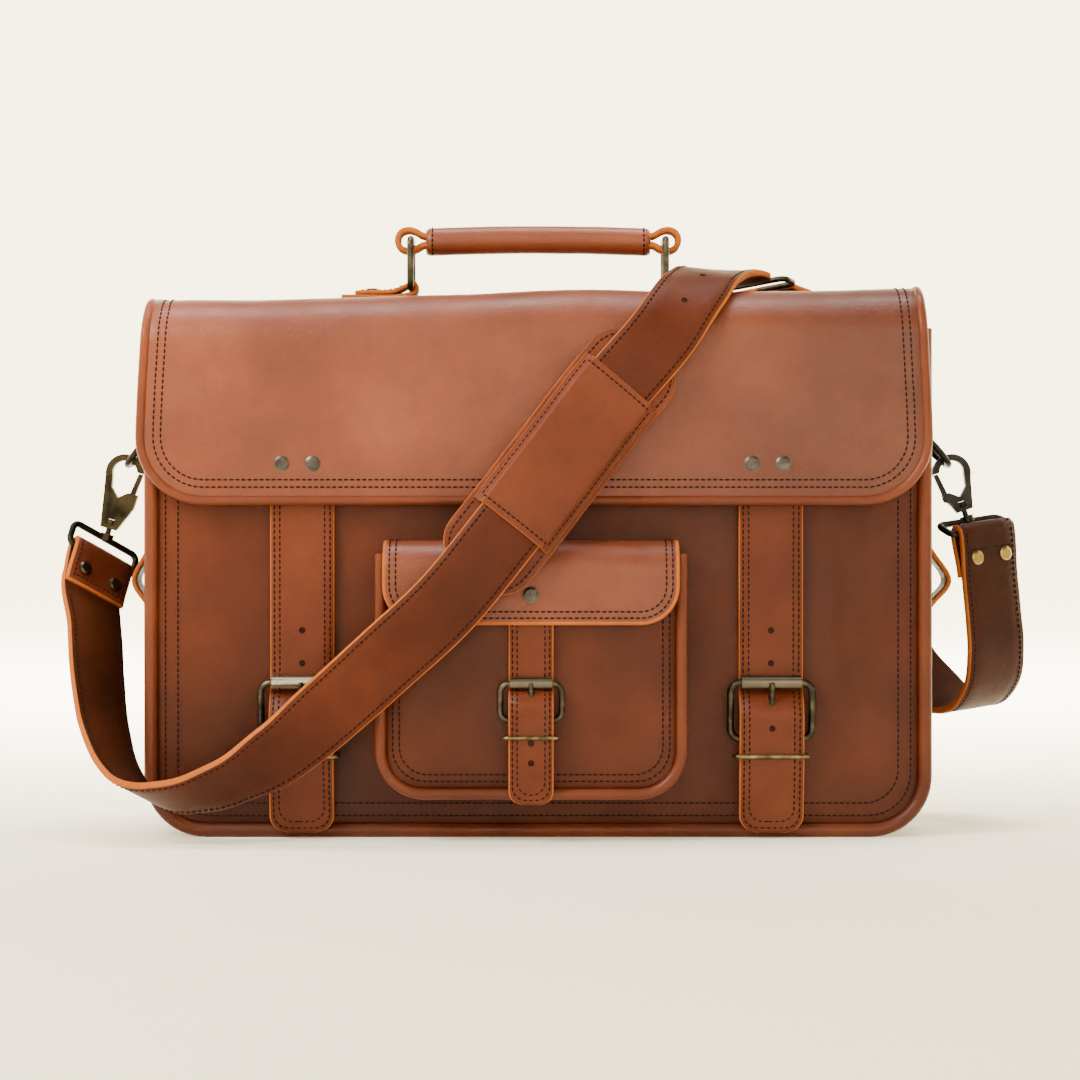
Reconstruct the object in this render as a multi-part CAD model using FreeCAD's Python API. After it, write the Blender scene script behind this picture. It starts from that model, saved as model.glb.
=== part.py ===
"""Leather satchel briefcase with a shoulder strap, in millimetres.

X runs to the wearer's right, Y from the front to the back and Z up.
The origin is on the middle of the base, at the level the bag stands on.
"""

import FreeCAD, Part
import math
import os

from FreeCAD import Vector as V

# ---------------------------------------------------------------- driving dimensions
LEATHER = 3.0            # thickness of panels and straps
FIT = 0.3                # gap between pieces that only lie on each other

BAG_HALF_WIDTH = 200.0   # outside of the side gusset
BAG_HALF_DEPTH = 55.0    # outside of the front and back panels
BAG_TOP = 262.0          # open rim of the shell
BAG_CORNER = 32.0        # bottom corners of the gusset
WELT_R = 3.5             # piping round the front and back seams

FLAP_CENTRE_X = -2.0
FLAP_HALF_WIDTH = 198.0
FLAP_INNER_Y = -62.0     # inside of the hanging front of the flap
FLAP_TOP_Z = 278.5       # underside of the flap's top
FLAP_LOW_Z = 175.5
FLAP_CORNER = 30.0
FLAP_ROLL_R = 2.6        # rolled edge of the flap
HINGE_Y = 56.8           # fold line at the back of the flap
HINGE_Z = 266.0

POCKET_X = -3.5
POCKET_HALF_WIDTH = 73.5
POCKET_LOW_Z = 22.0
POCKET_TOP_Z = 146.0
POCKET_FACE_Y = -84.0    # outside of the pocket's front
POCKET_CORNER = 22.0
POCKET_WELT_R = 2.8

STRAP_W = 33.0           # front straps
STRAP_X = (-121.0, 119.5)
BAR_Z = 51.0             # lower bar of a main buckle
ROLLER_Z = 80.0
POCKET_FLAP_LOW_Z = 110.8
POCKET_HINGE_Z = 153.2
POCKET_STRAP_W = 22.6
POCKET_BAR_Z = 62.5
POCKET_ROLLER_Z = 81.0

SHOULDER_W = 36.0        # shoulder strap
SHOULDER_T = 3.6
PAD_W = 52.0
PAD_T = 4.0

HANDLE_HALF = 60.0       # half the grip's length
RING_X = 68.0            # handle rings, either side of the middle
RING_LOW_Z = 287.6       # centre of the ring's lower bar
RING_TOP_Z = 313.5       # centre of the ring's upper bar
RING_Y = 4.0
RING_WIRE_R = 1.8
RING_HALF = 11.0         # half the length of the bars, centre to centre

HINGE_CLEAR = 1.8
RUN_GAP = 0.1            # radial gap of a bar that turns in a loop

parts = {}


# ---------------------------------------------------------------- shape helpers
def keep(node, *solids):
    """Stores the solids of one node."""
    flat = []
    for shape in solids:
        flat.extend(shape.Solids)
    parts[node] = flat[0] if len(flat) == 1 else Part.makeCompound(flat)


def block(x0, x1, y0, y1, z0, z1):
    return Part.makeBox(x1 - x0, y1 - y0, z1 - z0, V(x0, y0, z0))


def rod(start, end, radius):
    axis = end - start
    return Part.makeCylinder(radius, axis.Length, start, axis)


def rounded_rod(points, radius):
    """Round bar along a polyline, with a ball at each corner and end."""
    shape = Part.makeSphere(radius, points[0])
    for start, end in zip(points, points[1:]):
        shape = shape.fuse(rod(start, end, radius)).fuse(Part.makeSphere(radius, end))
    return shape.removeSplitter()


def u_points(half, low, top, corner):
    """Named points of a U outline in XZ: two sides, two corner arcs and a base."""
    slant = corner * (1 - math.sqrt(0.5))
    return {
        "left_top": (-half, top),
        "left_low": (-half, low + corner),
        "left_mid": (-half + slant, low + slant),
        "base_left": (-half + corner, low),
        "base_right": (half - corner, low),
        "right_mid": (half - slant, low + slant),
        "right_low": (half, low + corner),
        "right_top": (half, top),
    }


def u_edges(half, low, top, corner, centre_x=0.0, y=0.0):
    p = {k: V(centre_x + x, y, z) for k, (x, z) in u_points(half, low, top, corner).items()}
    return [
        Part.LineSegment(p["left_top"], p["left_low"]).toShape(),
        Part.Arc(p["left_low"], p["left_mid"], p["base_left"]).toShape(),
        Part.LineSegment(p["base_left"], p["base_right"]).toShape(),
        Part.Arc(p["base_right"], p["right_mid"], p["right_low"]).toShape(),
        Part.LineSegment(p["right_low"], p["right_top"]).toShape(),
    ]


def u_panel(half, low, top, corner, y0, y1, centre_x=0.0):
    """Flat panel with rounded bottom corners."""
    edges = u_edges(half, low, top, corner, centre_x, y0)
    closing = Part.LineSegment(V(centre_x + half, y0, top), V(centre_x - half, y0, top)).toShape()
    return Part.Face(Part.Wire(edges + [closing])).extrude(V(0, y1 - y0, 0))


def u_band(half, low, top, corner, thick, y0, y1, centre_x=0.0):
    """Strip that runs down one side, along the base and up the other side."""
    outer = u_panel(half, low, top, corner, y0, y1, centre_x)
    inner = u_panel(half - thick, low + thick, top + 1, corner - thick, y0 - 1, y1 + 1, centre_x)
    return outer.cut(inner)


def swept_tube(edges, radius, start, direction):
    """Round tube along a path of lines and tangent arcs."""
    ring = Part.Wire(Part.Circle(start, direction, radius).toShape())
    return Part.Wire(edges).makePipeShell([ring], True, False)


def u_tube(half, low, top, corner, y, radius, centre_x=0.0):
    edges = u_edges(half, low, top, corner, centre_x, y)
    return swept_tube(edges, radius, V(centre_x - half, y, top), V(0, 0, -1))


def wire_ring(centre, across, up, half_a, half_u, corner, radius):
    """Closed ring of round wire: a rounded rectangle spanned by two directions."""
    def at(a, u):
        return centre + across * a + up * u

    slant = corner * (1 - math.sqrt(0.5))
    a1, u1 = half_a - corner, half_u - corner
    edges = []
    for sa, su in ((1, 1), (-1, 1), (-1, -1), (1, -1)):
        side_point = at(sa * half_a, su * u1)
        flat_point = at(sa * a1, su * half_u)
        middle = at(sa * (half_a - slant), su * (half_u - slant))
        if sa * su > 0:
            edges.append(Part.Arc(side_point, middle, flat_point).toShape())
            edges.append(Part.LineSegment(flat_point, at(-sa * a1, su * half_u)).toShape())
        else:
            edges.append(Part.Arc(flat_point, middle, side_point).toShape())
            edges.append(Part.LineSegment(side_point, at(sa * half_a, -su * u1)).toShape())
    start = at(half_a, u1)
    ring = Part.Wire(Part.Circle(start, up, radius).toShape())
    path = Part.Wire(Part.sortEdges(edges)[0])
    return path.makePipeShell([ring], True, False)


def profile_sheet(points, thick, x0, x1):
    """Sheet whose middle line in YZ follows the points, extruded from x0 to x1."""
    left, right = [], []
    count = len(points)
    for n, (y, z) in enumerate(points):
        before = points[max(n - 1, 0)]
        after = points[min(n + 1, count - 1)]
        dy, dz = after[0] - before[0], after[1] - before[1]
        size = math.hypot(dy, dz)
        ny, nz = -dz / size * thick / 2, dy / size * thick / 2
        left.append(V(x0, y + ny, z + nz))
        right.append(V(x0, y - ny, z - nz))
    outline = Part.makePolygon(left + right[::-1] + [left[0]])
    return Part.Face(outline).extrude(V(x1 - x0, 0, 0))


def ribbon(stations, width, thick, offset=0.0):
    """Flat strap through stations of centre and width direction, as a ruled loft.

    width is one number or one per station; offset shifts the strap along its face normal.
    """
    sections = []
    count = len(stations)
    widths = width if isinstance(width, list) else [width] * count
    for n, (centre, across) in enumerate(stations):
        before, after = stations[max(n - 1, 0)][0], stations[min(n + 1, count - 1)][0]
        along = V(*after) - V(*before)
        along.normalize()
        side = V(*across)
        side = side - along * side.dot(along)
        side.normalize()
        face = along.cross(side)
        c, a, f = V(*centre) + face * offset, side * (widths[n] / 2), face * (thick / 2)
        sections.append(Part.makePolygon([c + a + f, c - a + f, c - a - f, c + a - f, c + a + f]))
    return Part.makeLoft(sections, True, True)


def rivet(head, inward, head_r, head_h, shank_r, length):
    """Rivet with a low domed head, a shank and a flat washer at its far end."""
    outward = inward * -1
    cap = Part.makeCylinder(head_r, head_h * 0.55, head, outward)
    dome = Part.makeCone(head_r, head_r * 0.7, head_h * 0.45, head + outward * head_h * 0.55, outward)
    shank = Part.makeCylinder(shank_r, length, head, inward)
    washer = Part.makeCylinder(head_r * 0.8, 0.8, head + inward * length, inward)
    return cap.fuse(dome).fuse(shank).fuse(washer).removeSplitter()


# ---------------------------------------------------------------- shell of the bag
def shell():
    welt_half = BAG_HALF_WIDTH - 0.5
    welts = []
    for side in (-1, 1):
        y = side * (BAG_HALF_DEPTH - 1.5)
        welts.append(u_tube(welt_half, WELT_R, BAG_TOP, BAG_CORNER - WELT_R, y, WELT_R))
    keep("front_piping", welts[0])
    keep("back_piping", welts[1])

    panel_half = welt_half - WELT_R
    panel_low = 2 * WELT_R
    corner = BAG_CORNER - 2 * WELT_R
    inner = BAG_HALF_DEPTH - LEATHER
    keep("front_panel", u_panel(panel_half, panel_low, BAG_TOP, corner, -BAG_HALF_DEPTH, -inner))
    keep("back_panel", u_panel(panel_half, panel_low, BAG_TOP, corner, inner, BAG_HALF_DEPTH))

    gusset = u_band(BAG_HALF_WIDTH, 0, BAG_TOP, BAG_CORNER, LEATHER, -inner, inner)
    for welt in welts:
        gusset = gusset.cut(welt)
    keep("gusset", gusset)


def lining():
    """Stiffening board, dividing wall and slip pocket inside the bag."""
    board_half = BAG_HALF_WIDTH - BAG_CORNER
    keep("base_board", block(-board_half, board_half, -46, 46, LEATHER + FIT, LEATHER + FIT + 2.4))

    wall_half = BAG_HALF_WIDTH - LEATHER - FIT
    wall = u_panel(wall_half, 6.4, 226, BAG_CORNER - LEATHER, 8, 10.5)
    keep("divider", wall)

    slip_y = BAG_HALF_DEPTH - LEATHER - FIT
    front = block(-118, 118, slip_y - 7, slip_y - 5, 70, 205)
    frame = block(-118, 118, slip_y - 5, slip_y, 70, 205)
    frame = frame.cut(block(-114, 114, slip_y - 6, slip_y + 1, 74, 206))
    keep("inner_pocket", front.fuse(frame).removeSplitter())


# ---------------------------------------------------------------- flap
def arc_points(cy, cz, radius, start_deg, end_deg, steps):
    """Points of an arc in YZ, angles measured from +Y towards +Z."""
    out = []
    for n in range(steps + 1):
        a = math.radians(start_deg + (end_deg - start_deg) * n / steps)
        out.append((cy + radius * math.cos(a), cz + radius * math.sin(a)))
    return out


def flap_profile():
    """Middle line of the flap in YZ, from the fold at the back to the front edge."""
    mid_top = FLAP_TOP_Z + LEATHER / 2
    back_r, front_r = 12.0, 24.0
    front_y = FLAP_INNER_Y - LEATHER / 2
    back = arc_points(HINGE_Y - back_r, mid_top - back_r, back_r, 0, 90, 8)
    front = arc_points(front_y + front_r, mid_top - front_r, front_r, 90, 180, 10)
    return [(HINGE_Y, HINGE_Z + 0.3)] + back + front, front_y, mid_top, back_r, front_r


def flap():
    points, front_y, mid_top, back_r, front_r = flap_profile()
    x0, x1 = FLAP_CENTRE_X - FLAP_HALF_WIDTH, FLAP_CENTRE_X + FLAP_HALF_WIDTH
    sheet = profile_sheet(points + [(front_y, FLAP_LOW_Z)], LEATHER, x0, x1)
    trim = u_panel(FLAP_HALF_WIDTH, FLAP_LOW_Z, 320, FLAP_CORNER, -90, -40, FLAP_CENTRE_X)
    low_zone = block(x0 - 1, x1 + 1, -90, -40, FLAP_LOW_Z - 1, FLAP_LOW_Z + FLAP_CORNER)
    sheet = sheet.cut(low_zone.cut(trim))

    # rolled edge: up the left side, along the front edge and up the right side
    off = FLAP_HALF_WIDTH + FLAP_ROLL_R
    low = FLAP_LOW_Z - FLAP_ROLL_R
    corner = FLAP_CORNER + FLAP_ROLL_R
    top_z = mid_top - front_r
    s = math.sqrt(0.5)
    back_c = (HINGE_Y - back_r, mid_top - back_r)
    front_c = (front_y + front_r, mid_top - front_r)

    def over_top(x, forward):
        a = V(x, HINGE_Y, HINGE_Z + 0.5)
        b = V(x, HINGE_Y, back_c[1])
        c = V(x, back_c[0] + back_r * s, back_c[1] + back_r * s)
        d = V(x, back_c[0], mid_top)
        e = V(x, front_c[0], mid_top)
        f = V(x, front_c[0] - front_r * s, front_c[1] + front_r * s)
        g = V(x, front_y, front_c[1])
        if not forward:
            a, b, c, d, e, f, g = g, f, e, d, c, b, a
            return [
                Part.Arc(a, b, c).toShape(),
                Part.LineSegment(c, d).toShape(),
                Part.Arc(d, e, f).toShape(),
                Part.LineSegment(f, g).toShape(),
            ]
        return [
            Part.LineSegment(a, b).toShape(),
            Part.Arc(b, c, d).toShape(),
            Part.LineSegment(d, e).toShape(),
            Part.Arc(e, f, g).toShape(),
        ]

    left, right = FLAP_CENTRE_X - off, FLAP_CENTRE_X + off
    edges = over_top(left, True) + u_edges(off, low, top_z, corner, FLAP_CENTRE_X, front_y)
    edges += over_top(right, False)
    roll = swept_tube(edges, FLAP_ROLL_R, V(left, HINGE_Y, HINGE_Z + 0.5), V(0, 0, 1))
    sheet = sheet.cut(roll)
    margin_half = BAG_HALF_WIDTH - 12
    margin = block(-margin_half, margin_half, BAG_HALF_DEPTH + FIT, BAG_HALF_DEPTH + FIT + LEATHER,
                   212, HINGE_Z - HINGE_CLEAR)
    keep("flap_back_margin", margin)
    keep("flap_edge_roll", roll)
    return sheet


# ---------------------------------------------------------------- straps and buckles
def buckle_set(name, cx, face_y, bar_z, roller_z, width, wire_r, top_path, tip_z, chape_low, holes, thick):
    """Strap, chape, roller buckle and wire keeper, built outward from a flat face.

    o is the distance out from the face; z is the height.
    """
    chape_t = 2.2
    bar_o = FIT + chape_t + RUN_GAP + wire_r
    over_o = bar_o + wire_r + RUN_GAP + chape_t
    strap_mid = over_o + 0.4 + thick / 2
    roller_r = wire_r * 2.0
    behind_o = 1.1 + thick / 2
    roller_o = behind_o + thick / 2 + 0.5 + roller_r
    drop = roller_z - bar_z

    path = top_path + [
        (behind_o + 0.1, roller_z + 4),
        (behind_o + 0.3, roller_z - 0.13 * drop),
        (behind_o + 4.9, roller_z - 0.31 * drop),
        (strap_mid + 0.5, roller_z - 0.53 * drop),
        (strap_mid + 0.7, bar_z + 0.25 * drop),
        (strap_mid, bar_z),
        (strap_mid, bar_z - 13),
        (strap_mid - 1.2, bar_z - 23),
        (strap_mid - 3.4, bar_z - 34),
        (strap_mid - 4.2, tip_z),
    ]
    points = [(face_y - o, z) for o, z in path]
    strap = profile_sheet(points, thick, cx - width / 2, cx + width / 2)
    tip = Part.makeCylinder(width * 0.62, 60, V(cx, face_y - 40, tip_z + width * 0.62), V(0, 1, 0))
    tip_box = block(cx - width, cx + width, face_y - 40, face_y + 20, tip_z - 5, tip_z + width * 0.24)
    strap = strap.cut(tip_box.cut(tip))

    prong_r = wire_r * 0.75
    cross_low = V(cx, face_y - (roller_o + 0.0), roller_z - 0.6 * drop)
    cross_top = V(cx, face_y - (roller_o + roller_r + prong_r + 0.55), roller_z - 0.03 * drop)
    hole = rod(cross_low, cross_top, prong_r + 1.2)
    strap = strap.cut(hole)
    for z in holes:
        strap = strap.cut(Part.makeCylinder(1.9, 60, V(cx, face_y - 40, z), V(0, 1, 0)))

    bar_y = face_y - bar_o
    roller_y = face_y - roller_o
    centre = V(cx, (bar_y + roller_y) / 2, (bar_z + roller_z) / 2)
    up = V(0, roller_y - bar_y, roller_z - bar_z)
    half_up = up.Length / 2
    up.normalize()
    half_across = width / 2 + 2.6 + wire_r
    frame = wire_ring(centre, V(1, 0, 0), up, half_across, half_up, wire_r * 3, wire_r)
    keep(name + "_buckle_frame", frame)

    roller_half = half_across - wire_r * 3 - 0.3
    tube = rod(V(cx - roller_half, roller_y, roller_z), V(cx + roller_half, roller_y, roller_z), roller_r)
    bore = rod(V(cx - 40, roller_y, roller_z), V(cx + 40, roller_y, roller_z), wire_r + 0.1)
    keep(name + "_buckle_roller", tube.cut(bore))

    eye_out = wire_r + 0.1 + prong_r * 1.3
    eye_half = prong_r * 1.2
    eye = rod(V(cx - eye_half, bar_y, bar_z), V(cx + eye_half, bar_y, bar_z), eye_out)
    knee = V(cx, face_y - (bar_o + eye_out * 0.75), bar_z + eye_out * 0.35)
    arm = rounded_rod([knee, cross_low, cross_top], prong_r)
    eye_bore = rod(V(cx - 40, bar_y, bar_z), V(cx + 40, bar_y, bar_z), wire_r + 0.1)
    prong = eye.fuse(arm).cut(eye_bore).removeSplitter()
    keep(name + "_buckle_prong", prong)

    # chape: one strip from the bottom, up behind the bar, over it and down again
    half_w = width / 2 - 0.4
    loop_r = wire_r + RUN_GAP + chape_t / 2
    loop_points = []
    for n in range(1, 8):
        a = math.radians(180 - n * 180 / 8)
        loop_points.append((bar_o + loop_r * math.cos(a), bar_z + loop_r * math.sin(a)))
    lower_o = FIT + chape_t * 1.5 + 0.1
    chape_path = [(FIT + chape_t / 2, chape_low), (FIT + chape_t / 2, bar_z)] + loop_points
    chape_path += [(bar_o + loop_r, bar_z), (bar_o + loop_r, bar_z - 11), (lower_o, bar_z - 22),
                   (lower_o, chape_low + 1)]
    chape = profile_sheet([(face_y - o, z) for o, z in chape_path], chape_t, cx - half_w, cx + half_w)
    slot = block(cx - eye_half - 0.5, cx + eye_half + 0.5, face_y - 30, face_y + 10,
                 bar_z - eye_out - 1.0, bar_z + 20)
    chape = chape.cut(slot)

    keeper_r = wire_r * 0.62
    keeper_z = bar_z - 8.5
    keeper_back = bar_o
    keeper_front = strap_mid + thick / 2 + keeper_r + 0.35
    keeper_mid = V(cx, face_y - (keeper_back + keeper_front) / 2, keeper_z)
    keeper = wire_ring(keeper_mid, V(1, 0, 0), V(0, -1, 0), width / 2 + keeper_r + 1.2,
                       (keeper_front - keeper_back) / 2, keeper_r * 2.4, keeper_r)
    keep(name + "_keeper", keeper)
    keep(name + "_chape", chape)
    return strap


def front_straps(flap_sheet):
    rivets = []
    for name, cx in zip(("left", "right"), STRAP_X):
        top_path = [(5.3, 204), (5.3, 186), (4.2, 178), (3.6, 160), (3.0, 110)]
        strap = buckle_set(name, cx, -BAG_HALF_DEPTH, BAR_Z, ROLLER_Z, STRAP_W, 1.8, top_path, 3.0,
                           9.0, (107.5, 89.0, 57.5), LEATHER)
        for side in (-1, 1):
            head = V(cx - 2 + side * 8, FLAP_INNER_Y - LEATHER, 192)
            one = rivet(head, V(0, 1, 0), 4.1, 1.6, 1.5, LEATHER * 2 + 0.4)
            rivets.append(one)
            bore = Part.makeCylinder(1.6, 30, head - V(0, 10, 0), V(0, 1, 0))
            flap_sheet = flap_sheet.cut(bore)
            strap = strap.cut(bore)
        keep(name + "_front_strap", strap)
    return flap_sheet, rivets


# ---------------------------------------------------------------- front pocket
def pocket():
    x = POCKET_X
    welt_y = POCKET_FACE_Y + 1.0
    welt_half = POCKET_HALF_WIDTH + POCKET_WELT_R - 0.3
    welt_low = POCKET_LOW_Z + POCKET_WELT_R
    welt = u_tube(welt_half, welt_low, POCKET_TOP_Z, POCKET_CORNER, welt_y, POCKET_WELT_R, x)
    keep("pocket_piping", welt)
    panel_half = welt_half - POCKET_WELT_R
    panel = u_panel(panel_half, welt_low + POCKET_WELT_R, POCKET_TOP_Z, POCKET_CORNER - POCKET_WELT_R,
                    POCKET_FACE_Y, POCKET_FACE_Y + 2.6, x)
    keep("pocket_front", panel)
    band = u_band(welt_half, welt_low, POCKET_TOP_Z, POCKET_CORNER, 2.4, POCKET_FACE_Y + 2.6,
                  -BAG_HALF_DEPTH - FIT, x)
    keep("pocket_gusset", band.cut(welt))

    # flap of the pocket, from its sewn back edge to its cut front edge
    flap_t = 2.5
    front_y = POCKET_FACE_Y - 6.5
    top_z = 151.5
    bend = 15.0
    keep("pocket_flap_margin", block(x - 70, x + 70, -BAG_HALF_DEPTH - FIT - flap_t, -BAG_HALF_DEPTH - FIT,
                                     146.6, POCKET_HINGE_Z - 5.8))
    points = arc_points(-60.4, top_z - 3, 3, 0, 90, 4)
    points += arc_points(front_y + bend, top_z - bend, bend, 90, 180, 8) + [(front_y, POCKET_FLAP_LOW_Z)]
    half = 73.5
    sheet = profile_sheet(points, flap_t, x - half, x + half)
    corner = 19
    corner_zone = block(x - half - 1, x + half + 1, -110, -75,
                        POCKET_FLAP_LOW_Z - 1, POCKET_FLAP_LOW_Z + corner)
    sheet = sheet.cut(corner_zone.cut(u_panel(half, POCKET_FLAP_LOW_Z, 200, corner, -110, -75, x)))

    top_path = [(3.75, 135), (3.75, 122), (3.4, 110), (3.0, 100)]
    strap = buckle_set("pocket", x, POCKET_FACE_Y, POCKET_BAR_Z, POCKET_ROLLER_Z, POCKET_STRAP_W, 1.5,
                       top_path, 20.0, 31.0, (51.0, 42.0), 2.4)
    head = V(x, front_y - flap_t / 2, 125.5)
    keep("pocket_rivet", rivet(head, V(0, 1, 0), 4.1, 1.6, 1.4, flap_t + 2.4 + 0.4))
    bore = Part.makeCylinder(1.5, 20, head - V(0, 5, 0), V(0, 1, 0))
    keep("pocket_flap", sheet.cut(bore))
    keep("pocket_strap", strap.cut(bore))


# ---------------------------------------------------------------- handle
def handle(flap_sheet, rivets):
    core_r, sleeve_r = 4.6, 6.9
    z = RING_TOP_Z
    axis_y = RING_Y

    # flat strap that runs through the grip and loops round a ring at each end
    loop_r_in, loop_t = RING_WIRE_R + RUN_GAP, 3.6
    loops = []
    for side in (-1, 1):
        cx = side * RING_X
        outer = rod(V(cx, axis_y - 6.5, z), V(cx, axis_y + 6.5, z), loop_r_in + loop_t)
        neck = block(min(side * HANDLE_HALF, cx), max(side * HANDLE_HALF, cx),
                     axis_y - 6.5, axis_y + 6.5, z - loop_r_in - loop_t + 1.2, z + loop_r_in + loop_t - 1.2)
        hole = rod(V(cx, axis_y - 20, z), V(cx, axis_y + 20, z), loop_r_in)
        loops.append(outer.fuse(neck).cut(hole))
    core = rod(V(-HANDLE_HALF, axis_y, z), V(HANDLE_HALF, axis_y, z), core_r)
    keep("handle_core", core.fuse(loops[0]).fuse(loops[1]).removeSplitter())
    sleeve = rod(V(-HANDLE_HALF + 0.2, axis_y, z), V(HANDLE_HALF - 0.2, axis_y, z), sleeve_r)
    sleeve = sleeve.cut(rod(V(-90, axis_y, z), V(90, axis_y, z), core_r + 0.05))
    keep("handle_grip", sleeve)

    tabs = []
    tab_z = FLAP_TOP_Z + LEATHER + FIT
    tab_t = 2.4
    for side, name in ((-1, "left"), (1, "right")):
        cx = side * RING_X
        centre = V(cx, axis_y, (RING_LOW_Z + RING_TOP_Z) / 2)
        ring = wire_ring(centre, V(0, 1, 0), V(0, 0, 1), RING_HALF, (RING_TOP_Z - RING_LOW_Z) / 2,
                         3.6, RING_WIRE_R)
        keep(name + "_handle_ring", ring)
        r_in = RING_WIRE_R + RUN_GAP
        r_out = r_in + tab_t
        eye = rod(V(cx, axis_y - 5.6, RING_LOW_Z), V(cx, axis_y + 5.6, RING_LOW_Z), r_out)
        far = cx + side * 38
        foot = block(min(cx, far), max(cx, far), axis_y - 9, axis_y + 9, tab_z, tab_z + tab_t)
        for y0, y1 in ((axis_y + 5.6, axis_y + 12), (axis_y - 12, axis_y - 5.6)):
            foot = foot.cut(block(cx - 6.5, cx + 6.5, y0, y1, tab_z - 1, tab_z + 9))
        upper = block(min(cx, cx + side * 30), max(cx, cx + side * 30), axis_y - 5.6, axis_y + 5.6,
                      tab_z + tab_t, tab_z + 2 * tab_t)
        upper = upper.cut(rod(V(cx, -40, RING_LOW_Z), V(cx, 40, RING_LOW_Z), r_out - 0.01))
        tab = foot.fuse(upper).fuse(eye)
        tab = tab.cut(rod(V(cx, -40, RING_LOW_Z), V(cx, 40, RING_LOW_Z), r_in))
        tab = tab.cut(block(-300, 300, -60, 60, tab_z - 20, tab_z))
        head = V(cx + side * 21, axis_y, tab_z + 2 * tab_t)
        rivets.append(rivet(head, V(0, 0, -1), 3.6, 1.3, 1.5, 2 * tab_t + LEATHER + FIT + 0.2))
        bore = Part.makeCylinder(1.6, 40, head + V(0, 0, 10), V(0, 0, -1))
        flap_sheet = flap_sheet.cut(bore)
        tabs.append(tab.cut(bore))
    keep("handle_tabs", *tabs)
    return flap_sheet, rivets


# ---------------------------------------------------------------- sides
D_BAR_Z = 208.5
D_HALF = 13.0
D_WIRE_R = 1.75
D_REACH = V(-0.68, 0, -0.733)     # from the D-ring's bar to its bow, on the left side
D_DEPTH = 21.0


def mirrored(shape):
    return shape.mirror(V(0, 0, 0), V(1, 0, 0))


def d_ring():
    """Left D-ring: a straight bar in the tab and a bow that hangs outward."""
    bar_x = -(BAG_HALF_WIDTH + FIT + 4.7)
    bar = V(bar_x, 0, D_BAR_Z)
    reach = V(D_REACH)
    reach.normalize()
    across = V(0, 1, 0)
    leg = D_DEPTH - D_HALF
    a, b = bar - across * D_HALF, bar + across * D_HALF
    c, d = b + reach * leg, a + reach * leg
    bow = bar + reach * D_DEPTH
    corner = 2.6
    s = math.sqrt(0.5)
    slant = corner * (1 - s)
    edges = [
        Part.LineSegment(a + across * corner, b - across * corner).toShape(),
        Part.Arc(b - across * corner, b - across * slant + reach * slant, b + reach * corner).toShape(),
        Part.LineSegment(b + reach * corner, c).toShape(),
        Part.Arc(c, bow, d).toShape(),
        Part.LineSegment(d, a + reach * corner).toShape(),
        Part.Arc(a + reach * corner, a + across * slant + reach * slant, a + across * corner).toShape(),
    ]
    ring = Part.Wire(Part.Circle(a + across * corner, across, D_WIRE_R).toShape())
    return Part.Wire(edges).makePipeShell([ring], True, False), bar


def sides():
    ring, bar = d_ring()
    keep("left_d_ring", ring)
    keep("right_d_ring", mirrored(ring))

    r_in = D_WIRE_R + RUN_GAP
    r_out = r_in + 2.3
    skin_x = -(BAG_HALF_WIDTH + FIT)
    half = 9.6
    plate = block(skin_x - 2.4, skin_x, -half, half, 168, D_BAR_Z)
    eye = rod(V(bar.x, -half, D_BAR_Z), V(bar.x, half, D_BAR_Z), r_out)
    eye = eye.cut(rod(V(bar.x, -half - 1, D_BAR_Z), V(bar.x, half + 1, D_BAR_Z), r_in))
    low = block(bar.x - 20, bar.x + 20, -30, 30, D_BAR_Z - 20, D_BAR_Z)
    eye = eye.cut(low)
    tab = plate.fuse(eye)
    tab = tab.cut(rod(V(bar.x, -30, D_BAR_Z), V(bar.x, 30, D_BAR_Z), r_in))

    loops = []
    for apex_x in (-215.4, -219.0):
        path = [(-201.6, 166.0), (-201.6, 157.5), (apex_x, 131.5), (-201.6, 110.0), (-201.6, 99.0)]
        loops.append(side_strip(path, 2.4, 12.0))

    rivets = []
    for z in (176.0, 162.0, 104.0):
        outer_x = skin_x - 2.4 if z > 170 else -202.8
        head = V(outer_x, 0, z)
        one = rivet(head, V(1, 0, 0), 3.6, 1.3, 1.4, abs(outer_x) - (BAG_HALF_WIDTH - LEATHER) + 0.2)
        rivets.append(one)
        bore = Part.makeCylinder(1.5, 20, head - V(6, 0, 0), V(1, 0, 0))
        tab = tab.cut(bore)
        loops = [loop.cut(bore) for loop in loops]
        parts["gusset"] = parts["gusset"].cut(bore).cut(mirrored(bore))
    keep("d_ring_tabs", tab, mirrored(tab))
    keep("side_loops", loops[0], mirrored(loops[1]))
    keep("side_rivets", *(rivets + [mirrored(r) for r in rivets]))


def side_strip(path, thick, half):
    """Leather strip on the left gusset whose XZ profile follows the path."""
    turned = profile_sheet([(x, z) for x, z in path], thick, -half, half)
    turned.rotate(V(0, 0, 0), V(0, 0, 1), -90)
    mirrored_x = turned.BoundBox.XMin > 0
    return mirrored(turned) if mirrored_x else turned


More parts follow.
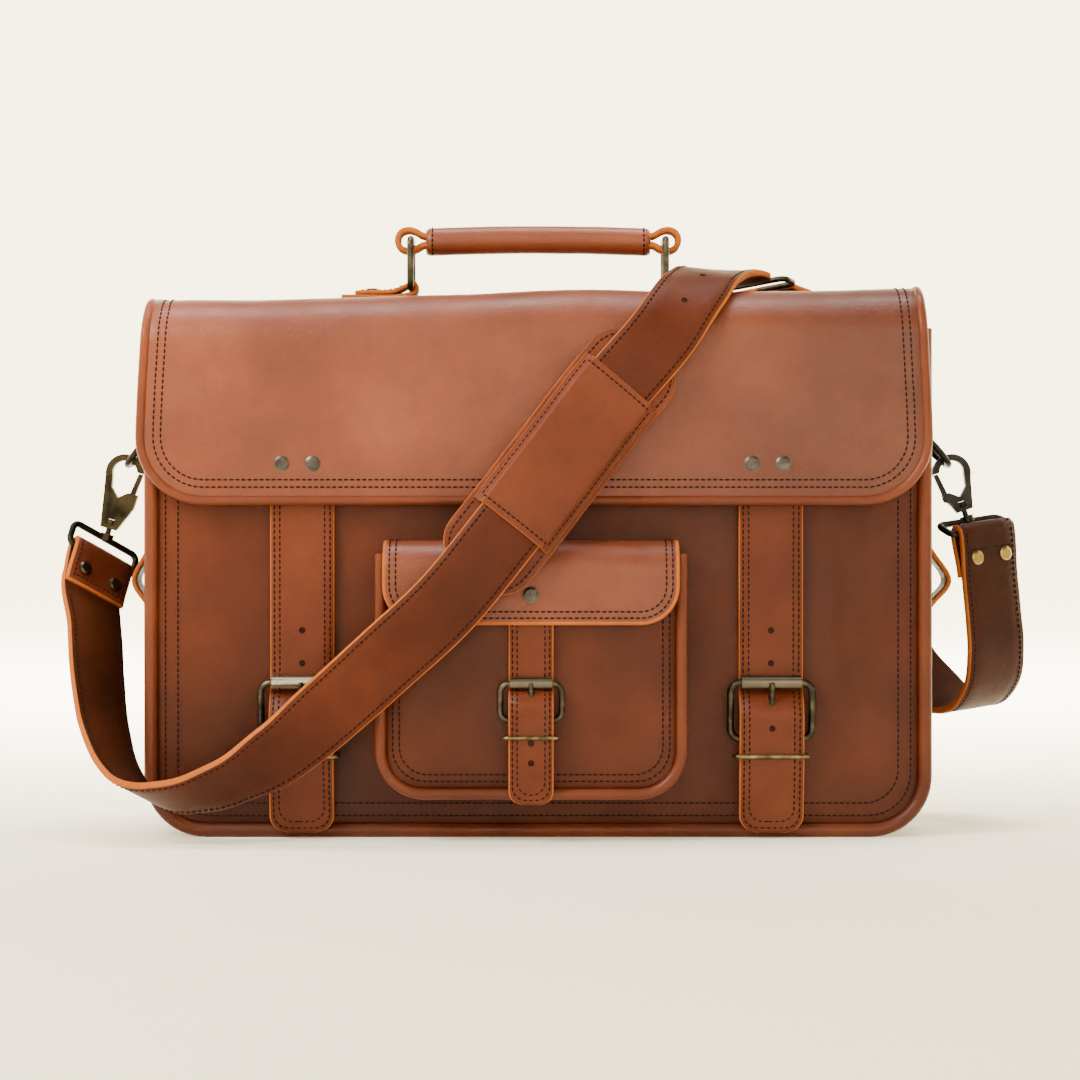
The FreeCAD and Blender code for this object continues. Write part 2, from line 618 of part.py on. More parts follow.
# ---------------------------------------------------------------- snap hooks
def snap_hook(name, eye_top, shank_base, ring_across, ring_lean, inward):
    """Trigger hook, its gate and its swivel ring.

    eye_top is the inside top of the hook's eye; shank_base is where the swivel post starts.
    The ring lies along ring_across and leans the way ring_lean points.
    inward is +1 when the gate faces +X.
    """
    up = eye_top - shank_base
    length = up.Length
    up.normalize()
    side = V(0, 1, 0).cross(up)
    side.normalize()
    side = side * inward

    def at(a, u):
        return shank_base + side * a + up * u

    half_t = 2.4
    eye_u = length - 8.5
    body = Part.makeCylinder(10.2, 2 * half_t, at(0, eye_u) - V(0, half_t, 0), V(0, 1, 0))
    waist = Part.Face(Part.makePolygon([
        at(-4.6, 2), at(4.2, 2), at(9.8, 15.5), at(10.2, eye_u), at(-10.2, eye_u), at(-4.6, 2)]))
    waist.translate(V(0, -half_t, 0))
    body = body.fuse(waist.extrude(V(0, 2 * half_t, 0)))
    eye = Part.makeCylinder(6.6, 20, at(0, eye_u + 0.2) - V(0, 10, 0), V(0, 1, 0))
    slot = Part.Face(Part.makePolygon([
        at(-6.6, eye_u), at(6.6, eye_u), at(5.4, eye_u - 9), at(0, eye_u - 13.5),
        at(-4.6, eye_u - 9), at(-6.6, eye_u)]))
    slot.translate(V(0, -10, 0))
    body = body.cut(eye).cut(slot.extrude(V(0, 20, 0)))

    # mouth on the bag's side, closed by the gate
    mouth = Part.Face(Part.makePolygon([
        at(4.6, eye_u - 9.6), at(14, eye_u - 9.6), at(14, eye_u + 2.2), at(4.6, eye_u + 2.2),
        at(4.6, eye_u - 9.6)]))
    mouth.translate(V(0, -10, 0))
    body = body.cut(mouth.extrude(V(0, 20, 0)))
    pivot = at(6.6, eye_u - 12.2)
    gate_slot = Part.makeCylinder(3.2, 3.2, pivot - V(0, 1.6, 0), V(0, 1, 0))
    body = body.cut(gate_slot)
    post_bore = Part.makeCylinder(1.6, 6.4, at(0, 0), up)
    head_room = Part.makeCylinder(3.0, 3.2, at(0, 4.0), up)
    body = body.cut(post_bore).cut(head_room)
    pin_bore = Part.makeCylinder(0.9, 20, pivot - V(0, 10, 0), V(0, 1, 0))
    body = body.cut(pin_bore)
    keep(name + "_hook", max(body.Solids, key=lambda s: s.Volume))

    gate = Part.Face(Part.makePolygon([
        at(5.4, eye_u - 11.6), at(8.2, eye_u - 12.2), at(9.6, eye_u + 1.8), at(7.2, eye_u + 1.8),
        at(5.4, eye_u - 11.6)]))
    gate.translate(V(0, -1.3, 0))
    gate = gate.extrude(V(0, 2.6, 0))
    hub = Part.makeCylinder(2.4, 2.6, pivot - V(0, 1.3, 0), V(0, 1, 0))
    pin = Part.makeCylinder(0.85, 2 * half_t, pivot - V(0, half_t, 0), V(0, 1, 0))
    keep(name + "_hook_gate", gate.fuse(hub).fuse(pin).removeSplitter())

    # swivel: headed post and the flat ring that the strap is folded round
    post = Part.makeCylinder(1.5, 9.6, at(0, -4.4), up)
    head = Part.makeCylinder(2.8, 2.6, at(0, 4.3), up)
    collar = Part.makeCylinder(3.6, 3.4, at(0, -4.4), up)
    across = V(*ring_across)
    across.normalize()
    down = ring_lean - across * across.dot(ring_lean)
    down.normalize()
    ring_centre = at(0, -4.0) + down * 6.4
    ring = wire_ring(ring_centre, across, down, SHOULDER_W / 2 + 2.4, 6.4, 3.8, 1.75)
    keep(name + "_swivel_ring", ring.fuse(post).fuse(head).fuse(collar).removeSplitter())
    return ring_centre + down * 6.4, across, up, pivot


# ---------------------------------------------------------------- shoulder strap
# Stations are a centre point and the direction of the strap's width.
LEFT_DROP = [
    ((-232.0, -31.5, 105.0), (0.66, 0.66, -0.36)),
    ((-229.0, -43.0, 84.0), (0.64, 0.72, -0.26)),
    ((-224.0, -56.0, 60.0), (0.58, 0.79, -0.20)),
    ((-216.5, -69.0, 42.0), (0.50, 0.84, -0.22)),
    ((-208.5, -77.0, 31.5), (0.47, 0.84, -0.24)),
]
FRONT_RUN = [
    ((-206.5, -78.8, 29.6), (0.46, 0.84, -0.26)),
    ((-197.0, -85.5, 24.5), (0.32, 0.87, -0.36)),
    ((-180.0, -91.0, 24.0), (0.10, 0.86, -0.50)),
    ((-156.0, -93.0, 31.0), (0.08, 0.72, -0.68)),
    ((-130.0, -93.0, 46.0), (0.30, 0.46, -0.83)),
    ((-104.0, -94.5, 68.0), (0.52, 0.26, -0.81)),
    ((-75.0, -99.5, 94.0), (0.64, 0.14, -0.75)),
    ((-45.0, -103.0, 122.0), (0.70, 0.06, -0.71)),
    ((-16.0, -100.5, 157.5), (0.72, 0.0, -0.69)),
    ((11.0, -89.5, 192.5), (0.72, 0.0, -0.69)),
    ((37.0, -79.0, 227.0), (0.72, 0.0, -0.69)),
    ((61.5, -73.0, 255.5), (0.76, -0.06, -0.64)),
    ((76.5, -62.5, 277.0), (0.84, -0.28, -0.46)),
    ((87.5, -41.5, 290.5), (0.88, -0.40, -0.22)),
    ((96.5, -18.5, 293.5), (0.90, -0.42, -0.02)),
    ((104.0, 3.0, 294.0), (0.88, -0.46, 0.08)),
    ((113.5, 21.5, 292.5), (0.86, -0.49, 0.12)),
]
BACK_RUN = [
    ((125.6, 41.5, 289.0), (0.84, -0.52, 0.14)),
    ((143.5, 61.0, 280.0), (0.90, -0.32, 0.20)),
    ((152.5, 68.5, 258.0), (0.95, -0.10, 0.28)),
    ((162.0, 72.0, 210.0), (0.96, 0.0, 0.26)),
    ((174.0, 74.0, 165.0), (0.95, 0.02, 0.30)),
    ((188.0, 75.5, 122.0), (0.92, 0.06, 0.38)),
    ((204.0, 73.5, 89.0), (0.84, 0.30, 0.43)),
    ((215.0, 68.8, 76.6), (0.78, 0.50, 0.38)),
    ((217.0, 66.7, 74.1), (0.78, 0.50, 0.38)),
]
RIGHT_DROP = [
    ((217.4, 66.3, 73.6), (0.78, 0.50, 0.38)),
    ((219.4, 64.2, 71.1), (0.78, 0.50, 0.38)),
    ((229.0, 49.0, 63.0), (0.79, 0.59, 0.18)),
    ((238.6, 27.0, 64.0), (0.83, 0.55, 0.06)),
    ((244.0, 7.0, 77.0), (0.87, 0.48, 0.06)),
    ((244.0, -4.5, 95.0), (0.87, 0.48, 0.09)),
    ((242.2, -9.0, 112.0), (0.86, 0.49, 0.11)),
]
PAD_SIDE = 1
FOLD_LONG = 24.0


def fold(bar, across, along, rivet_places):
    """End of the strap, turned back on itself round a bar and riveted."""
    r_in = 1.75 + RUN_GAP
    r_out = r_in + 2.6
    half = SHOULDER_W / 2 - 1.5
    normal = across.cross(along)
    a, b = bar - across * half, bar + across * half
    tube = rod(a, b, r_out)
    corner = bar - across * half - normal * r_out
    plate = Part.Face(Part.makePolygon([
        corner, corner + across * (2 * half), corner + across * (2 * half) + normal * (2 * r_out),
        corner + normal * (2 * r_out), corner])).extrude(along * FOLD_LONG)
    wedge_cut = r_out - SHOULDER_T + 0.2
    solid = tube.fuse(plate)
    for side in (-1, 1):
        trim = corner if side < 0 else corner + normal * (2 * r_out)
        inward = normal * (-side * wedge_cut)
        start = trim + along * 7
        far = trim + along * (FOLD_LONG + 1)
        shape = Part.Face(Part.makePolygon([
            start, far + inward, far - inward * 2, start - inward * 2, start]))
        shape.translate(across * -5)
        solid = solid.cut(shape.extrude(across * (2 * half + 10)))
    solid = solid.cut(rod(a - across * 5, b + across * 5, r_in))
    rivets = []
    for offset, reach in rivet_places:
        half_t = r_out - wedge_cut * (reach - 7) / (FOLD_LONG + 1 - 7)
        head = bar + across * offset + along * reach - normal * (half_t + 0.35)
        one = rivet(head, normal, 3.8, 1.5, 1.5, 2 * half_t + 0.7)
        solid = solid.cut(Part.makeCylinder(1.6, 40, head - normal * 10, normal))
        rivets.append(one)
    return solid, rivets


def strap_ends(left, right):
    """Folds round the swivel rings; the drops start where the folds end."""
    solids, rivets = [], []
    hang = {"left": V(0.1, -0.5, -1), "right": V(0.12, 0, -1)}
    for name, (bar, across, up, _) in (("left", left), ("right", right)):
        along = hang[name] - across * across.dot(hang[name])
        along.normalize()
        solid, found = fold(bar, across, along, ((-9.5, 13.5), (9.5, 13.5)))
        solids.append(solid)
        rivets.extend(found)
        near, far = bar + along * (FOLD_LONG + 0.6), bar + along * (FOLD_LONG + 4)
        ends = [(tuple(near), tuple(across)), (tuple(far), tuple(across))]
        if name == "left":
            LEFT_DROP[:0] = ends
        else:
            RIGHT_DROP.extend(ends[::-1])
    keep("strap_end_folds", *solids)
    keep("side_rivets", *(parts["side_rivets"].Solids + rivets))


def part_way(station, other, share):
    """Station that lies the given share of the way towards the other one."""
    return tuple(tuple(a + share * (b - a) for a, b in zip(p, q)) for p, q in zip(station, other))


def shoulder_strap():
    keep("strap_left_drop", ribbon(LEFT_DROP, SHOULDER_W, SHOULDER_T))
    keep("strap_front_run", ribbon(FRONT_RUN, SHOULDER_W, SHOULDER_T))
    pad_run = FRONT_RUN[8:11]
    lower, upper = pad_run[0], pad_run[-1]
    low_tip = part_way(lower, FRONT_RUN[7], 0.6)
    high_tip = part_way(upper, FRONT_RUN[11], 0.7)
    under = SHOULDER_T / 2 + FIT + 1.5
    pad = ribbon([low_tip] + pad_run + [high_tip], [PAD_W * 0.72] + [PAD_W] * 3 + [PAD_W * 0.72], 3.0,
                 PAD_SIDE * under)
    keep("shoulder_pad", pad)
    over = SHOULDER_T / 2 + FIT + 1.25
    keep("pad_sleeve", ribbon(pad_run, PAD_W * 0.88, 2.5, -PAD_SIDE * over))
    adjuster_at, across = V(119.3, 31.0, 291.2), V(0.84, -0.53, 0.12)
    along = V(*BACK_RUN[0][0]) - V(*FRONT_RUN[-1][0])
    across.normalize()
    along = along - across * along.dot(across)
    along.normalize()
    keep("strap_adjuster", wire_ring(adjuster_at, across, along, SHOULDER_W / 2 + 2.4, 6.4, 4.0, 1.6))
    keep("strap_back_run", ribbon(BACK_RUN, SHOULDER_W, SHOULDER_T))
    keep("strap_right_drop", ribbon(RIGHT_DROP, SHOULDER_W, SHOULDER_T))


def main():
    os.makedirs("parts", exist_ok=True)
    shell()
    lining()
    sheet = flap()
    sheet, rivets = front_straps(sheet)
    pocket()
    sheet, rivets = handle(sheet, rivets)
    keep("flap", sheet)
    keep("flap_rivets", *rivets)
    sides()
    left = snap_hook("left", V(-218.4, 0, 196.8), V(-230.0, 0, 157.2),
                     (0.735, 0.50, -0.46), V(-0.25, -0.6, -0.75), 1)
    right = snap_hook("right", V(218.2, 0, 196.8), V(228.5, 0, 166.8),
                      (0.86, 0.49, 0.12), V(0, -0.92, -0.40), -1)
    strap_ends(left, right)
    shoulder_strap()
    for node, shape in parts.items():
        if not shape.isValid():
            print("INVALID", node)
        shape.exportStep(os.path.join("parts", node + ".step"))
    print(len(parts), "nodes")


main()
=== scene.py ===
import bpy
import math
from bisect import bisect_left
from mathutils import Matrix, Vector, noise


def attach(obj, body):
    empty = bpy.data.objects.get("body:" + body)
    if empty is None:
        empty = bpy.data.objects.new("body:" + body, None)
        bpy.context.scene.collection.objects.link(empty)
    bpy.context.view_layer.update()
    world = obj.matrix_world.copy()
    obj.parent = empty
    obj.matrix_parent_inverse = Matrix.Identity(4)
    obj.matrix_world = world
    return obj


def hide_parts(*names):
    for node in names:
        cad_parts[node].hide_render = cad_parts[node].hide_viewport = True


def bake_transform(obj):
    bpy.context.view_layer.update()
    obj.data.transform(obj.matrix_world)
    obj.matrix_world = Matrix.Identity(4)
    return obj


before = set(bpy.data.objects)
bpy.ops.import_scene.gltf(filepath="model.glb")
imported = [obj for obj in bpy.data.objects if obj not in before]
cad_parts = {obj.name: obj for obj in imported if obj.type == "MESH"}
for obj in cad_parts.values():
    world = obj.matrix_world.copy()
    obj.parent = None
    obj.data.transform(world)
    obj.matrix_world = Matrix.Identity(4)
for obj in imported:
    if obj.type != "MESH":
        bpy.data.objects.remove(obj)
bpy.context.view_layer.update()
MM = 0.001
SEAM_LIFT = 0.05

# ------------------------------------------------------------------ materials


class Look:
    """A new material, with short ways to add to its shader; coord is the place on the piece."""

    def __init__(self, name):
        self.mat = bpy.data.materials.new(name)
        self.mat.use_nodes = True
        self.nodes, self.link = self.mat.node_tree.nodes, self.mat.node_tree.links.new
        self.shader = self.nodes["Principled BSDF"]
        self.coord = self.nodes.new("ShaderNodeTexCoord").outputs["Object"]

    def put(self, socket, value):
        """Gives a socket a link, a colour or a number."""
        if isinstance(value, bpy.types.NodeSocket):
            self.link(value, socket)
        else:
            socket.default_value = (*value, 1) if isinstance(value, tuple) else value

    def set(self, name, value):
        self.put(self.shader.inputs[name], value)

    def node(self, kind, **inputs):
        """New node; an underscore in an input's name stands for a space."""
        node = self.nodes.new("ShaderNode" + kind)
        for name, value in inputs.items():
            self.put(node.inputs[name.replace("_", " ")], value)
        return node

    def noise(self, scale, detail, rough):
        node = self.node("TexNoise", Scale=scale, Detail=detail, Roughness=rough, Vector=self.coord)
        return node.outputs["Fac"]

    def place(self, axis):
        return self.node("SeparateXYZ", Vector=self.coord).outputs[axis]

    def edge(self):
        return self.node("NewGeometry").outputs["Pointiness"]

    def ramp(self, fac, stops):
        node = self.node("ValToRGB", Fac=fac)
        elements = node.color_ramp.elements
        while len(elements) < len(stops):
            elements.new(0.5)
        for element, (place, colour) in zip(elements, stops):
            element.position = place
            element.color = (*colour, 1) if isinstance(colour, tuple) else (colour, colour, colour, 1)
        return node.outputs["Color"]

    def mix(self, fac, a, b, mode="MIX"):
        node = self.node("Mix")
        node.data_type = "RGBA"
        node.blend_type = mode
        for index, value in ((0, fac), (6, a), (7, b)):
            self.put(node.inputs[index], value)
        return node.outputs[2]

    def bump(self, height, strength, distance, before=None):
        node = self.node("Bump", Strength=strength, Distance=distance, Height=height)
        if before is not None:
            self.link(before, node.inputs["Normal"])
        return node.outputs["Normal"]


def leather(name, deep, body, pale, rough, shine=0.16, base=0.66, right=0.66):
    """Waxed leather: mottled tone, fine pores, shallow creases and paler, rubbed high edges.

    base and right are how much of the tone is left at the bag's foot and at its right end, where the leather
    is darkened as painted shade.
    """
    look = Look(name)
    broad = look.noise(9, 3, 0.5)
    patch = look.noise(45, 5, 0.6)
    tone = look.ramp(broad, [(0.32, deep), (0.52, body), (0.74, pale)])
    fleck = look.ramp(patch, [(0.3, 0.80), (0.55, 1.0), (0.75, 1.14)])
    tone = look.mix(0.75, tone, fleck, "MULTIPLY")
    pores = look.node("TexVoronoi", Scale=900, Vector=look.coord)
    pores.feature = "SMOOTH_F1"
    pore_tone = look.ramp(pores.outputs["Distance"], [(0.1, 0.86), (0.45, 1.0)])
    tone = look.mix(0.5, tone, pore_tone, "MULTIPLY")
    edge = look.edge()
    rub = look.ramp(edge, [(0.515, 0.0), (0.60, 0.5)])
    tone = look.mix(rub, tone, pale)
    # painted shade: the tone darkens toward the bag's foot and toward its right end, where less light falls
    foot = look.ramp(look.place("Z"), [(0.02, base), (0.24, 1.0)])
    painted_shade = look.mix(1.0, foot, look.ramp(look.place("X"), [(0.0, 1.0), (0.25, right)]), "MULTIPLY")
    look.set("Base Color", look.mix(1.0, tone, painted_shade, "MULTIPLY"))
    gloss = look.noise(30, 4, 0.6)
    look.set("Roughness", look.ramp(gloss, [(0.3, rough - 0.07), (0.7, rough + 0.12)]))
    crease = look.noise(140, 6, 0.62)
    normal = look.bump(broad, 0.25, 0.004)
    normal = look.bump(crease, 0.22, 0.0012, normal)
    normal = look.bump(pores.outputs["Distance"], 0.30, 0.0004, normal)
    look.set("Normal", normal)
    look.set("Specular IOR Level", shine)
    return look.mat


def fibrous(name, deep, pale, rough=0.85, scale=420):
    """Raw cut edge or flesh side: short fibres and uneven dye."""
    look = Look(name)
    fine = look.noise(scale, 5, 0.7)
    broad = look.noise(28, 3, 0.5)
    tone = look.mix(broad, deep, pale)
    tone = look.mix(0.6, tone, look.ramp(fine, [(0.3, 0.72), (0.65, 1.12)]), "MULTIPLY")
    look.set("Base Color", tone)
    look.set("Normal", look.bump(fine, 0.5, 0.0006))
    look.set("Roughness", look.ramp(fine, [(0.2, rough - 0.08), (0.8, rough + 0.08)]))
    look.set("Specular IOR Level", 0.02)
    return look.mat


def metal(name, deep, bright, rough=0.34, right_side=None):
    """Antiqued plating: dark in patches, brighter where it is rubbed; right_side has its own two tones."""
    look = Look(name)
    patch = look.noise(160, 5, 0.6)
    fine = look.noise(900, 3, 0.5)
    edge = look.edge()
    tone = look.mix(look.ramp(patch, [(0.42, 0.0), (0.66, 0.75)]), deep, bright)
    tone = look.mix(look.ramp(edge, [(0.52, 0.0), (0.6, 0.8)]), tone, bright)
    if right_side:
        share = look.ramp(look.place("X"), [(0.098, 0.0), (0.102, 1.0)])
        tone = look.mix(share, tone, look.mix(patch, *right_side))
    look.set("Base Color", tone)
    look.set("Metallic", 1.0)
    look.set("Roughness", look.ramp(patch, [(0.3, rough + 0.12), (0.7, rough - 0.06)]))
    look.set("Normal", look.bump(fine, 0.12, 0.0003))
    return look.mat


def woven(name, deep, pale):
    """Plain weave cotton."""
    look = Look(name)
    waves = []
    for axis in ("X", "Z"):
        wave = look.node("TexWave", Scale=250, Distortion=0.6, Vector=look.coord)
        wave.bands_direction = axis
        waves.append(wave.outputs["Fac"])
    weave = look.mix(0.5, waves[0], waves[1], "MULTIPLY")
    broad = look.noise(20, 3, 0.5)
    tone = look.mix(broad, deep, pale)
    tone = look.mix(0.4, tone, weave, "MULTIPLY")
    look.set("Base Color", tone)
    look.set("Normal", look.bump(weave, 0.4, 0.0005))
    look.set("Roughness", 0.9)
    return look.mat


def thread_material(name, deep, pale):
    look = Look(name)
    twist = look.noise(1600, 2, 0.5)
    look.set("Base Color", look.mix(twist, deep, pale))
    look.set("Normal", look.bump(twist, 0.4, 0.0003))
    look.set("Roughness", 0.7)
    look.set("Specular IOR Level", 0.05)
    return look.mat


# base and right below set how strong the painted shade is toward the foot and toward the right end
BODY = leather("body_leather", (0.058, 0.0105, 0.0026), (0.090, 0.0170, 0.0043), (0.15, 0.032, 0.009),
               rough=0.40, shine=0.16, base=0.50, right=0.70)
FLAP = leather("flap_leather", (0.110, 0.0245, 0.0088), (0.150, 0.0345, 0.0130), (0.21, 0.054, 0.022),
               rough=0.40, shine=0.30, base=1.0, right=0.38)
WELT = leather("welt_leather", (0.090, 0.0180, 0.0052), (0.130, 0.0265, 0.0078), (0.21, 0.048, 0.015),
               rough=0.36, shine=0.2, base=0.6, right=0.75)
# painted shade: a darker copy of the belt leather, for the strap's faces turned away from the light
SHADED_STRAP = leather("strap_leather", (0.046, 0.0086, 0.0024), (0.066, 0.0128, 0.0034), (0.12, 0.027, 0.008),
                rough=0.42, shine=0.11, base=0.80, right=0.42)
BELT = leather("belt_leather", (0.095, 0.0185, 0.0052), (0.135, 0.0275, 0.0078), (0.20, 0.046, 0.014),
               rough=0.40, shine=0.16, base=0.60)
STRAP_BACK = leather("strap_back_leather", (0.022, 0.006, 0.0022), (0.038, 0.010, 0.0036),
                     (0.07, 0.019, 0.007), rough=0.55, shine=0.03)
PAD = leather("pad_leather", (0.085, 0.0175, 0.0052), (0.120, 0.0250, 0.0075), (0.19, 0.044, 0.013),
              rough=0.40)
GRIP = leather("grip_leather", (0.130, 0.0290, 0.0100), (0.170, 0.0400, 0.0145), (0.25, 0.066, 0.026),
               rough=0.36, shine=0.30)
EDGE = fibrous("raw_edge", (0.25, 0.062, 0.012), (0.44, 0.125, 0.026))
FLESH = fibrous("flesh_side", (0.032, 0.0075, 0.0024), (0.055, 0.0140, 0.0045), 0.7, 300)
# painted shade: near-black for the shaded inside of a punched hole
HOLE_SHADE = fibrous("punched_hole_shade", (0.012, 0.006, 0.004), (0.03, 0.014, 0.008))
THREAD = thread_material("waxed_thread", (0.006, 0.0028, 0.002), (0.018, 0.008, 0.005))
LINING = woven("cotton_lining", (0.10, 0.055, 0.03), (0.16, 0.095, 0.055))
BOARD = woven("covered_board", (0.07, 0.04, 0.025), (0.11, 0.07, 0.045))
BRONZE = metal("antique_plating", (0.030, 0.028, 0.021), (0.115, 0.100, 0.070))
ROLLER = metal("worn_plating", (0.10, 0.085, 0.060), (0.42, 0.37, 0.28), 0.28)
HOOK = metal("hook_plating", (0.014, 0.012, 0.008), (0.052, 0.041, 0.022), 0.36,
             ((0.006, 0.006, 0.006), (0.030, 0.027, 0.024)))
BRASS = metal("brass_plating", (0.075, 0.055, 0.026), (0.30, 0.22, 0.10), 0.34)
GUNMETAL = metal("gunmetal", (0.035, 0.030, 0.026), (0.115, 0.100, 0.085), 0.36)
RIVETS = metal("rivet_plating", (0.030, 0.024, 0.017), (0.085, 0.066, 0.042), 0.30,
               ((0.12, 0.080, 0.022), (0.38, 0.27, 0.08)))

# ------------------------------------------------------------------ mesh helpers


def build(name, verts, faces, materials, indices=None):
    """Smooth mesh object from millimetre points."""
    mesh = bpy.data.meshes.new(name)
    mesh.from_pydata([Vector(v) * MM for v in verts], [], faces)
    for mat in materials:
        mesh.materials.append(mat)
    for n, face in enumerate(mesh.polygons):
        face.use_smooth = True
        if indices:
            face.material_index = indices[n]
    mesh.validate()
    obj = bpy.data.objects.new(name, mesh)
    bpy.context.scene.collection.objects.link(obj)
    return obj


def add_modifier(obj, kind, **settings):
    mod = obj.modifiers.new(kind.lower(), kind)
    for key, value in settings.items():
        setattr(mod, key, value)
    return obj


def baked(obj):
    """Applies the object's modifiers to its mesh."""
    graph = bpy.context.evaluated_depsgraph_get()
    mesh = bpy.data.meshes.new_from_object(obj.evaluated_get(graph))
    obj.modifiers.clear()
    obj.data = mesh
    return obj


def steps(a, b, count):
    return [a + (b - a) * n / (count - 1) for n in range(count)]


def clamp(value):
    return min(max(value, 0), 1)


def ease(t):
    """Smooth step from 0 to 1."""
    return t * t * (3 - 2 * t)


def running(points):
    """Length along a polyline at each of its points."""
    lengths = [0.0]
    for a, b in zip(points, points[1:]):
        lengths.append(lengths[-1] + (b - a).length)
    return lengths


def locate(lengths, s):
    """The span of a running length that holds s, and the share of the way along it."""
    k = min(bisect_left(lengths, s, 1) - 1, len(lengths) - 2)
    return k, (s - lengths[k]) / ((lengths[k + 1] - lengths[k]) or 1)


def corner_cut(away, corner):
    """How much a rounded corner takes off the half width, at a distance from the end."""
    if away >= corner:
        return 0.0
    return corner - math.sqrt(max(0.0, corner ** 2 - (corner - max(away, 0)) ** 2))


def ring_faces(rings, sides, start=0):
    """Quads between neighbouring rings of points."""
    faces = []
    for n in range(rings - 1):
        a, b = start + n * sides, start + (n + 1) * sides
        for k in range(sides):
            j = (k + 1) % sides
            faces.append((a + k, a + j, b + j, b + k))
    return faces


def end_caps(rings, sides):
    return [tuple(range(sides))[::-1], tuple((rings - 1) * sides + k for k in range(sides))]


def sheet(name, point, us, vs, thick, mats):
    """Thick sheet over point(u, v); its outside is on the left of increasing v, seen along u."""
    verts = [point(u, v) for v in vs for u in us]
    wide = len(us)
    faces = []
    for r in range(len(vs) - 1):
        for c in range(wide - 1):
            a = r * wide + c
            faces.append((a, a + 1, a + wide + 1, a + wide))
    obj = build(name, verts, faces, mats)
    last = len(mats) - 1
    add_modifier(obj, "SOLIDIFY", thickness=thick * MM, offset=-1.0, use_even_offset=False,
                 material_offset=min(1, last), material_offset_rim=min(2, last))
    add_modifier(obj, "BEVEL", width=0.5 * MM, segments=2, limit_method="ANGLE", angle_limit=0.9)
    return baked(obj)


def tube(name, points, radius, mats, sides=14):
    """Round tube through the points."""
    count = len(points)
    verts = []
    side = None
    for n, p in enumerate(points):
        along = (points[min(n + 1, count - 1)] - points[max(n - 1, 0)]).normalized()
        if side is None:
            side = along.orthogonal()
        side = (side - along * side.dot(along)).normalized()
        up = along.cross(side)
        for k in range(sides):
            a = 2 * math.pi * k / sides
            verts.append(p + (side * math.cos(a) + up * math.sin(a)) * radius)
    faces = ring_faces(count, sides) + end_caps(count, sides)
    return build(name, verts, faces, mats)


def smooth_path(points, count):
    """Catmull-Rom curve through the points, sampled evenly by length."""
    points = [Vector(p) for p in points]
    ends = [points[0] * 2 - points[1]] + points + [points[-1] * 2 - points[-2]]
    fine = []
    for n in range(1, len(ends) - 2):
        a, b, c, d = ends[n - 1:n + 3]
        for k in range(16):
            t = k / 16
            fine.append(0.5 * ((2 * b) + (c - a) * t + (2 * a - 5 * b + 4 * c - d) * t * t
                               + (3 * b - a - 3 * c + d) * t ** 3))
    fine.append(points[-1])
    return even(fine, count)


def even(points, count):
    """count points at equal spacing along a polyline."""
    lengths = running(points)
    out = []
    for n in range(count):
        k, t = locate(lengths, lengths[-1] * n / (count - 1))
        out.append(points[k].lerp(points[k + 1], t))
    return out


class Stitches:
    """Collects saddle stitches and makes one object of them."""

    def __init__(self):
        self.verts, self.faces = [], []

    def row(self, points, normals, pitch=3.1, size=2.3, radius=0.42):
        """Stitches along a row of surface points with their normals."""
        count = max(2, int(running(points)[-1] / pitch) + 1)
        places = even(points, count * 4 + 1)
        share = (len(points) - 1) / (len(places) - 1)
        for n in range(2, len(places) - 2, 4):
            normal = normals[round(n * share)] if isinstance(normals, list) else normals
            along = (places[n + 1] - places[n - 1]).normalized()
            self.one(places[n], along, normal, size, radius)

    def one(self, middle, along, normal, size, radius):
        side = along.cross(normal).normalized()
        start = len(self.verts)
        for t, lift, swell in ((-0.5, -0.45, 0.6), (-0.25, 0.25, 1), (0.25, 0.25, 1), (0.5, -0.45, 0.6)):
            centre = middle + along * (t * size) + normal * (lift * radius)
            for k in range(6):
                a = math.pi * k / 3
                self.verts.append(centre + (side * math.cos(a) + normal * math.sin(a)) * radius * swell)
        self.faces += ring_faces(4, 6, start)

    def follow(self, found, **sizes):
        """Stitches along a row of (point, normal) pairs."""
        self.row([p for p, _ in found], [n for _, n in found], **sizes)

    def make(self, name):
        return build(name, self.verts, self.faces, [THREAD])


def u_line(half, low, top, corner, centre_x=0.0, step=2.0):
    """(x, z) points down one side, round the bottom and up the other side."""
    out = [(-half, z) for z in steps(top, low + corner, max(2, int((top - low - corner) / step)))]
    for sign, first, last in ((-1, 180, 270), (1, 270, 360)):
        for n in range(1, 13):
            a = math.radians(first + (last - first) * n / 12)
            out.append((sign * (half - corner) + corner * math.cos(a), low + corner + corner * math.sin(a)))
        if sign < 0:
            span = 2 * (half - corner)
            out += [(x, low) for x in steps(-half + corner, half - corner, max(3, int(span / step)))[1:-1]]
    out += [(half, z) for z in steps(low + corner, top, max(2, int((top - low - corner) / step)))[1:]]
    return [(centre_x + x, z) for x, z in out]


def u_half(z, half, low, corner):
    """Half width of a panel with rounded bottom corners at height z."""
    return half - corner_cut(z - low, corner)


def wobble(x, y, z, size, amount):
    return noise.noise(Vector((x, y, z)) / size) * amount


def hide_for(obj, body, slot, *nodes):
    """Gives a piece its body and the nodes that it stands for; slot is not used."""
    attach(obj, body)
    if nodes:
        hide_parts(*nodes)


